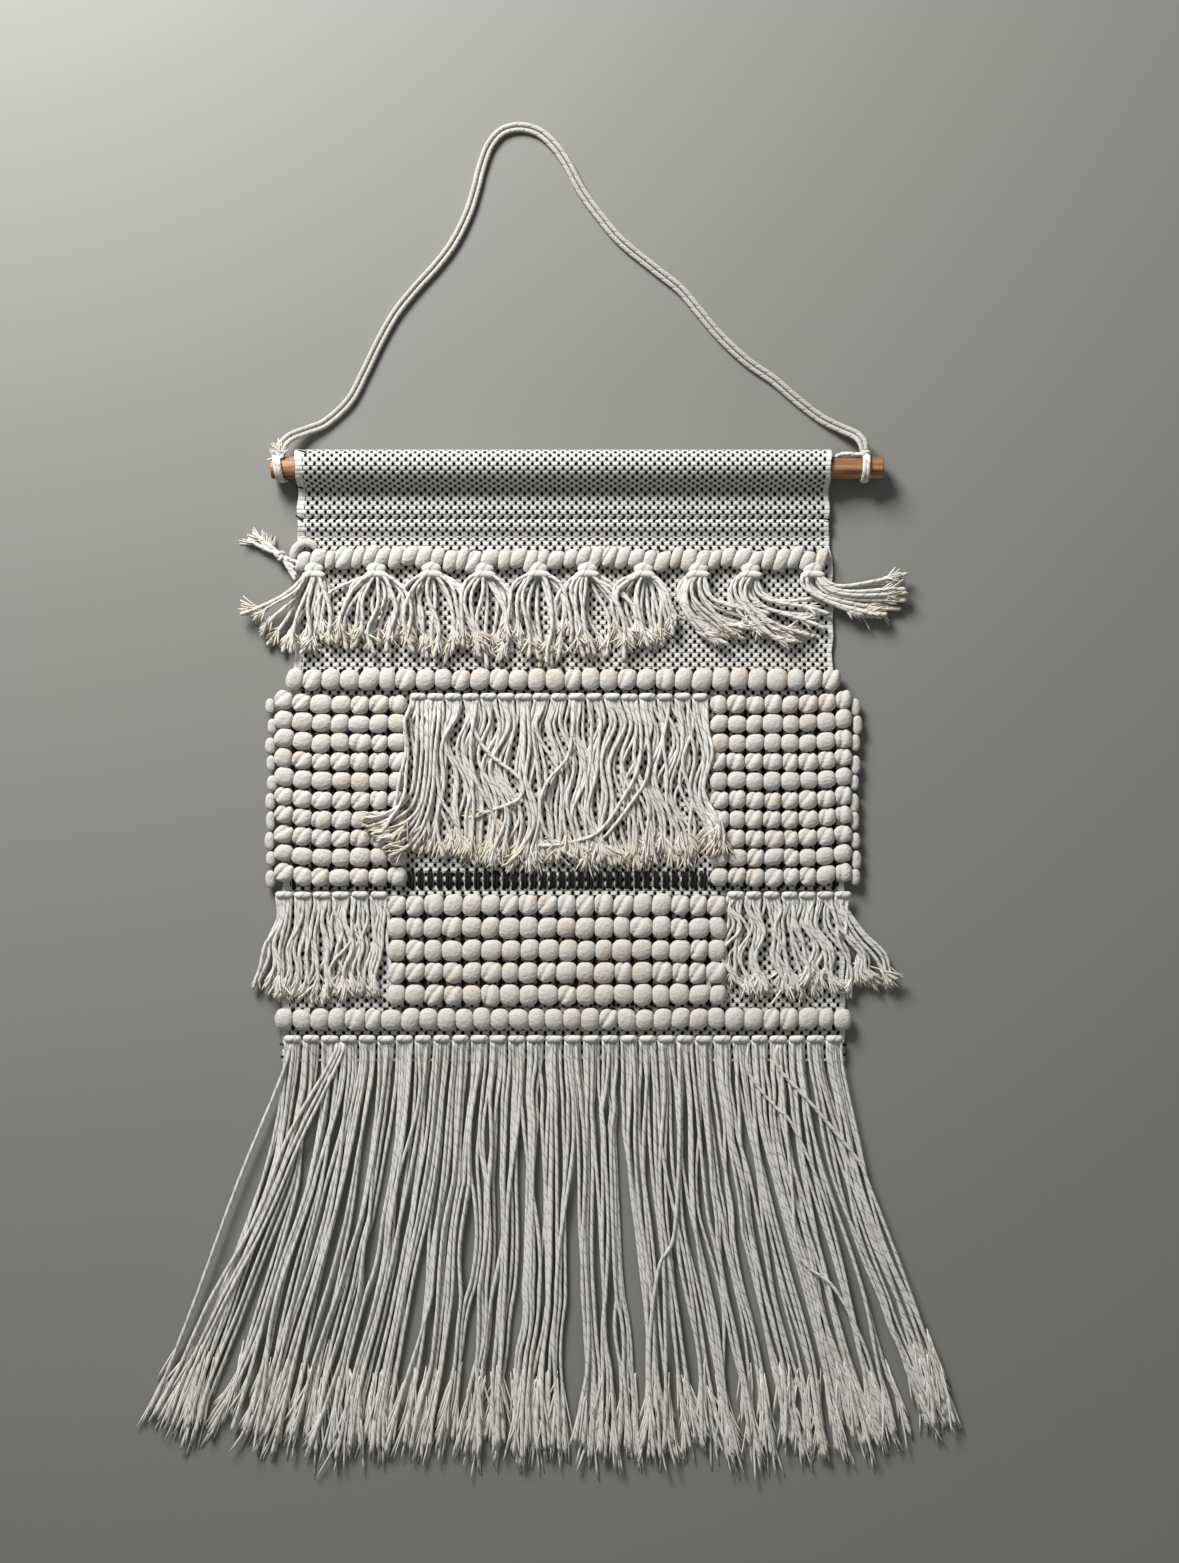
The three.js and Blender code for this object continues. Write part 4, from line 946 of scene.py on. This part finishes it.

# ---- Centre fringe -----------------------------------------------------------------------------------
# A fringe looped on across the middle of the cloth: seventeen knots, their strings lying in loose
# waves over the weave, with tan brushed tips and a few pulled out to the left. A fringe's CAD nodes and
# its pieces are named after its side.


def knotted_fringe(side, left, right, knots, knot_down, tips, per_knot, seed, steps, sway,
                   rest, top_rest, brush_length, tan, brush, fibre, radius=1.1, spread=0.26, pull=0.36,
                   band_tall=4.0, warp_x=None, pieces=1, lowest=2.4, spiky=0.12, strays=(), mound=None,
                   back=5.0):
    """A row of lark's head knots and the strings under them. tips(u, rng) gives each string's tip from its
    share u of the way across."""
    node, name = side + "_fringe", side + "_fringe_strings"
    rng = np.random.default_rng(seed)
    xs = np.linspace(left, right, knots)
    pitch = xs[1] - xs[0]
    knot_rows = bands(name + "_knots", [(x, knot_down) for x in xs], pitch * 0.9, band_tall, 6.0, rng)
    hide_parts(side + "_knots")
    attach(knot_rows, "weaving")
    in_knot = (np.tile(np.arange(per_knot), knots) + 0.5) / per_knot - 0.5
    knot = np.repeat(np.arange(knots), per_knot)
    x = xs[knot] + in_knot * pitch * 0.86
    count = len(x)
    u = np.clip((np.arange(count) + 0.5) / count + rng.normal(0, 0.35 / knots, count), 0.003, 0.997)
    roots = np.stack([x, np.full(count, FOLD - knot_down - 0.8)], 1)
    ends = tips(u, rng)
    flat = lie_down(roots, ends, steps, pull, rng.normal(0, spiky, count))
    t = np.linspace(0, 1, steps)[None]
    place_in = x[:, None] / 100
    shared = sway[0] * np.minimum(1, t / 0.15) * (
        np.sin(2 * math.pi * (1.25 * t + 0.55 * place_in + 0.25 * np.sin(5 * place_in)) + seed)
        + 0.6 * np.sin(2 * math.pi * (2.1 * t - 1.3 * place_in) + 2 * seed))
    own = waves(rng, count, steps, sway[1], 0.8, 2.2)
    flat[:, :, 0] += shared + own
    if warp_x is not None:
        flat = warp_x(flat)
    long = np.linalg.norm(ends - roots, axis=1)[:, None]
    layer = rng.permuted(np.tile(np.linspace(0, 1, per_knot), (knots, 1)), axis=1).reshape(-1, 1)
    cycles = rng.uniform(0.4, 1.1, (count, 1))
    mix = 0.5 + 0.5 * np.sin(2 * math.pi * cycles * t + rng.uniform(0, 6.28, (count, 1)))
    height = rest + (top_rest - rest) * np.clip(layer * 0.8 + 0.2 * mix, 0, 1)
    from_knot = np.exp(-(t * long / 9.0) ** 2)
    height = height * (1 - from_knot) + (4.6 + 0.5 * layer) * from_knot
    for route in strays:
        points = spline([(across, FOLD - down, 0) for across, down in route], steps)
        points[:, :2] += np.stack([waves(rng, 1, steps, size, 0.8, 2.4)[0] for size in (0.5, 0.3)], 1)
        from_knot = np.exp(-(t[0] * long.mean() / 9.0) ** 2)
        rise = (top_rest + rng.uniform(0.2, 1.5)) * (1 - from_knot) + 5.2 * from_knot
        rise = rise + (rest - rise) * 0.6 * np.clip(t[0] - 0.7, 0, 1) / 0.3
        flat = np.concatenate([flat, points[None, :, :2]])
        height = np.concatenate([height, rise[None]])
        knot = np.append(knot, np.argmin(np.abs(xs - route[0][0])))
    if mound is not None:
        height = np.maximum(height, mound(flat[:, :, 0]) + 1.8 * rng.uniform(0, 1, (len(flat), 1)))
    for g, group in enumerate(np.array_split(np.arange(knots), pieces)):
        pick = np.isin(knot, group)
        label = name if pieces == 1 else f"{name}_{g + 1}"
        piece = strings(label, flat[pick], height[pick], rng, brush, brush_length, spread, lowest,
                        1 - 0.55 * brush_length / float(long.mean()), tan, radius, fibre, back)
        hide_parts(node)
        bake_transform(piece)


def centre_tips(u, rng):
    x = -91 + 182 * u + rng.normal(0, 3.5, len(u))
    x = np.where(u < 0.07, x - rng.uniform(4, 26, len(u)) * (1 - u / 0.09), x)
    down = 232 + 7 * np.sin(math.pi * u) + rng.normal(0, 3.2, len(u)) - np.where(u < 0.07, 6, 0)
    return np.stack([x, FOLD - down], 1)


CENTRE_STRAYS = [  # routes, as across and down: strings that cross the rest, then six pulled out to the left
    [(-52, 144), (-52, 158.6), (-43.6, 174.6), (-26.4, 189.6), (-26.4, 201), (-41.3, 207.9), (-56, 212.5)],
    [(-50, 144), (-53, 165), (-51, 189.6), (-41.3, 206.8), (-36, 222)],
    [(-72, 144), (-73, 180), (-70, 201), (-62, 215), (-54, 234)],
    [(6, 144), (5, 160), (3, 178), (-9, 192), (-13.7, 205.6), (-8, 224), (5, 234)],
    [(42, 144), (45, 180), (36.7, 201), (19.5, 220.5), (-3.4, 227.4), (-13, 228)],
    [(46, 144), (49, 182), (40, 203), (24, 222), (8, 231)],
    *([(-84 + 2.6 * k, 144), (-85 + 2 * k, 176 + 3 * k), (-88 + 1.6 * k, 198 + 3.6 * k),
       (-100 + 2.2 * k, 209 + 3.8 * k), (-116 + 3 * k, 213 + 4.2 * k)] for k in range(6)),
]


def over_blocks(x):
    """The height that strings lie at, which rises over the blocks of rows beside the fringe."""
    return 2.4 + 6.9 * np.clip((-87.5 - x) / 4, 0, 1) + 6.9 * np.clip((x - 83) / 4, 0, 1)


knotted_fringe("centre", -84.0, 79.0, 17, 142.0, centre_tips, 6, 61, 48, (2.6, 1.4), 3.0, 6.4,
               brush_length=11.0, tan=0.95, brush=14, fibre=0.52, spread=0.3, spiky=0.25,
               strays=CENTRE_STRAYS, mound=over_blocks)

# ---- Side fringes ------------------------------------------------------------------------------------
# Shorter fringes at both sides under the blocks of rows; the left one bulges outwards and the right one
# is swept out across the floor.


def left_tips(u, rng):
    x = -176.5 + 74 * u + rng.normal(0, 2.0, len(u))
    down = 316 + rng.normal(0, 2.2, len(u)) - 5 * (u < 0.12)
    return np.stack([x, FOLD - down], 1)


def right_tips(u, rng):
    x = 93 + 88 * u + rng.normal(0, 3.5, len(u)) + 16 * np.clip(u - 0.7, 0, 1) / 0.3
    down = 312 - 3 * u + rng.normal(0, 3.0, len(u)) - 6 * np.clip(u - 0.6, 0, 1)
    return np.stack([x, FOLD - down], 1)


SIDE_KNOTS_DOWN, SIDE_BEND_DOWN = 256.5, 261.2
knotted_fringe("left", -161.5, -106.5, 6, SIDE_KNOTS_DOWN, left_tips, 7, 71, 34, (1.4, 0.9),
               3.0, 6.2, brush_length=10.0, tan=0.6, brush=12, fibre=0.5, pull=0.42)
knotted_fringe("right", 99.5, 161.5, 7, SIDE_KNOTS_DOWN, right_tips, 7, 72, 34, (1.8, 1.1),
               3.0, 6.2, brush_length=11.0, tan=0.6, brush=12, fibre=0.5, spiky=0.3)

# ---- Bottom fringe -----------------------------------------------------------------------------------
# The long fringe: thirty knots of six strings each, spread into a fan on the floor, parting here and
# there into dark gaps and gathering into clumps with brushed ends. Made in three pieces.
BOTTOM_KNOTS_DOWN = 339.6
FLOOR_END = 600  # past the tips: a gap that ends here stays open
LEFT_EDGE = [(341, -160), (352, -164), (399, -173), (471, -193), (520, -212), (566, -233)]
RIGHT_EDGE = [(341, 160), (354, 162), (415, 171), (471, 190), (516, 212), (566, 231)]
PARTINGS = [  # across, from down, to down, width: where the strings part round a gap
    (-149, 366, 425, 5), (-112, 445, 485, 4), (-57, 422, 492, 8), (-79, 448, 560, 6), (-46, 374, 424, 4),
    (-14.5, 356, 386, 3), (26, 372, 390, 3), (96, 364, 400, 3), (102, 396, 452, 4), (108, 440, 500, 3),
    (125, 360, 382, 3), (-48, 484, 528, 5), (-24, 485, 520, 4), (-6, 512, FLOOR_END, 5), (2, 492, 548, 5),
    (31, 490, 530, 5), (54, 490, FLOOR_END, 6), (91, 425, 455, 2.5), (-130, 470, FLOOR_END, 5),
    (-172, 500, FLOOR_END, 6), (150, 480, FLOOR_END, 5), (120, 500, FLOOR_END, 4), (190, 490, 560, 5),
]


def part_strings(flat):
    """Pushes strings apart round each gap, widest at its middle, or at its end past the tips."""
    flat = flat.copy()
    down = FOLD - flat[:, :, 1]
    for across, start, end, width in PARTINGS:
        share = np.clip((down - start) / (end - start), 0, 1)
        open_by = width / 2 * np.sin((math.pi if end < FLOOR_END else math.pi / 2) * share)
        off = flat[:, :, 0] - across
        side = np.sign(off.mean(1))[:, None]
        flat[:, :, 0] += side * open_by * np.exp(-np.abs(off) / 9.0)
    return flat


def bottom_tips(u, rng):
    down = 574 + 5 * np.sin(math.pi * u) - 14 * np.abs(2 * u - 1) ** 5 + rng.normal(0, 4.0, len(u))
    left = np.interp(down, *np.array(LEFT_EDGE).T)
    right = np.interp(down, *np.array(RIGHT_EDGE).T)
    x = left + (right - left) * u + rng.normal(0, 4.5, len(u))
    down = np.minimum(down, 583)
    return np.stack([x, FOLD - down], 1)


BOTTOM_STRAYS = [  # routes, as across and down: strings that cross the fan, and some out at its left edge
    [(124, 342), (124, 356), (146.4, 380), (170.2, 407.7), (177, 422), (205, 500), (226, 560)],
    [(107, 342), (107, 359), (122.7, 378.7), (132, 388), (150, 430), (168, 500), (180, 568)],
    [(67, 342), (67, 400), (64, 454), (55.4, 472.7), (50, 520), (52, 573)],
    [(125, 342), (131, 420), (136, 464.6), (156.9, 484.3), (175, 520), (186, 566)],
    [(-131, 342), (-133, 350), (-157.5, 397), (-173.7, 435), (-186, 460), (-201, 488), (-222, 530),
     (-236, 558)],
    [(-129, 342), (-131, 350), (-155, 397), (-171, 436), (-183, 462), (-198, 490), (-218, 531), (-231, 562)],
    [(-127, 342), (-129, 351), (-152, 398), (-168, 437), (-180, 463), (-195, 492), (-214, 533), (-226, 565)],
    [(-157, 342), (-162.7, 361.3), (-187, 425), (-210.8, 488.4), (-228, 530), (-240, 556)],
]
knotted_fringe("bottom", -156.5, 156.5, 30, BOTTOM_KNOTS_DOWN, bottom_tips, 6, 81, 64, (1.0, 0.9),
               1.2, 5.0, brush_length=30.0, tan=0.35, brush=11, fibre=0.6, radius=1.08, spread=0.085,
               pull=0.3, band_tall=4.2, warp_x=part_strings, pieces=3, lowest=0.7, strays=BOTTOM_STRAYS,
               back=30.0)

# ---- Floor and light ---------------------------------------------------------------------------------
# Plain grey floor just under the hanging, a soft key light from past its cord end and a weak fill from the
# fringe end.
floor_material = blank("painted_floor")
floor_look = add(floor_material, "BsdfPrincipled", {"Base Color": linear("#888782"), "Roughness": 0.62})
add(floor_material, "OutputMaterial", {"Surface": floor_look})
bpy.ops.mesh.primitive_plane_add(size=24, location=(0, 0, -0.0002))
floor = bpy.context.active_object
floor.name = "floor"
floor.data.materials.append(floor_material)

for name, place, size, power in (("key", (-0.58, 1.25, 0.8), 0.55, 31), ("fill", (0.3, -0.7, 1.6), 1.8, 2.4)):
    light = bpy.data.objects.new(name, bpy.data.lights.new(name, "AREA"))
    light.data.size = size
    light.data.energy = power
    light.location = place
    light.rotation_euler = (Vector(place) - Vector((0, 0.1, 0))).to_track_quat("Z", "Y").to_euler()
    bpy.context.collection.objects.link(light)
world = bpy.data.worlds.new("studio")
bpy.context.scene.world = world
world.use_nodes = True
world.node_tree.nodes["Background"].inputs["Color"].default_value = linear("#D9DEE4")
world.node_tree.nodes["Background"].inputs["Strength"].default_value = 0.22
bpy.context.scene.view_settings.view_transform = "Standard"
bpy.context.scene.view_settings.look = "Medium High Contrast"
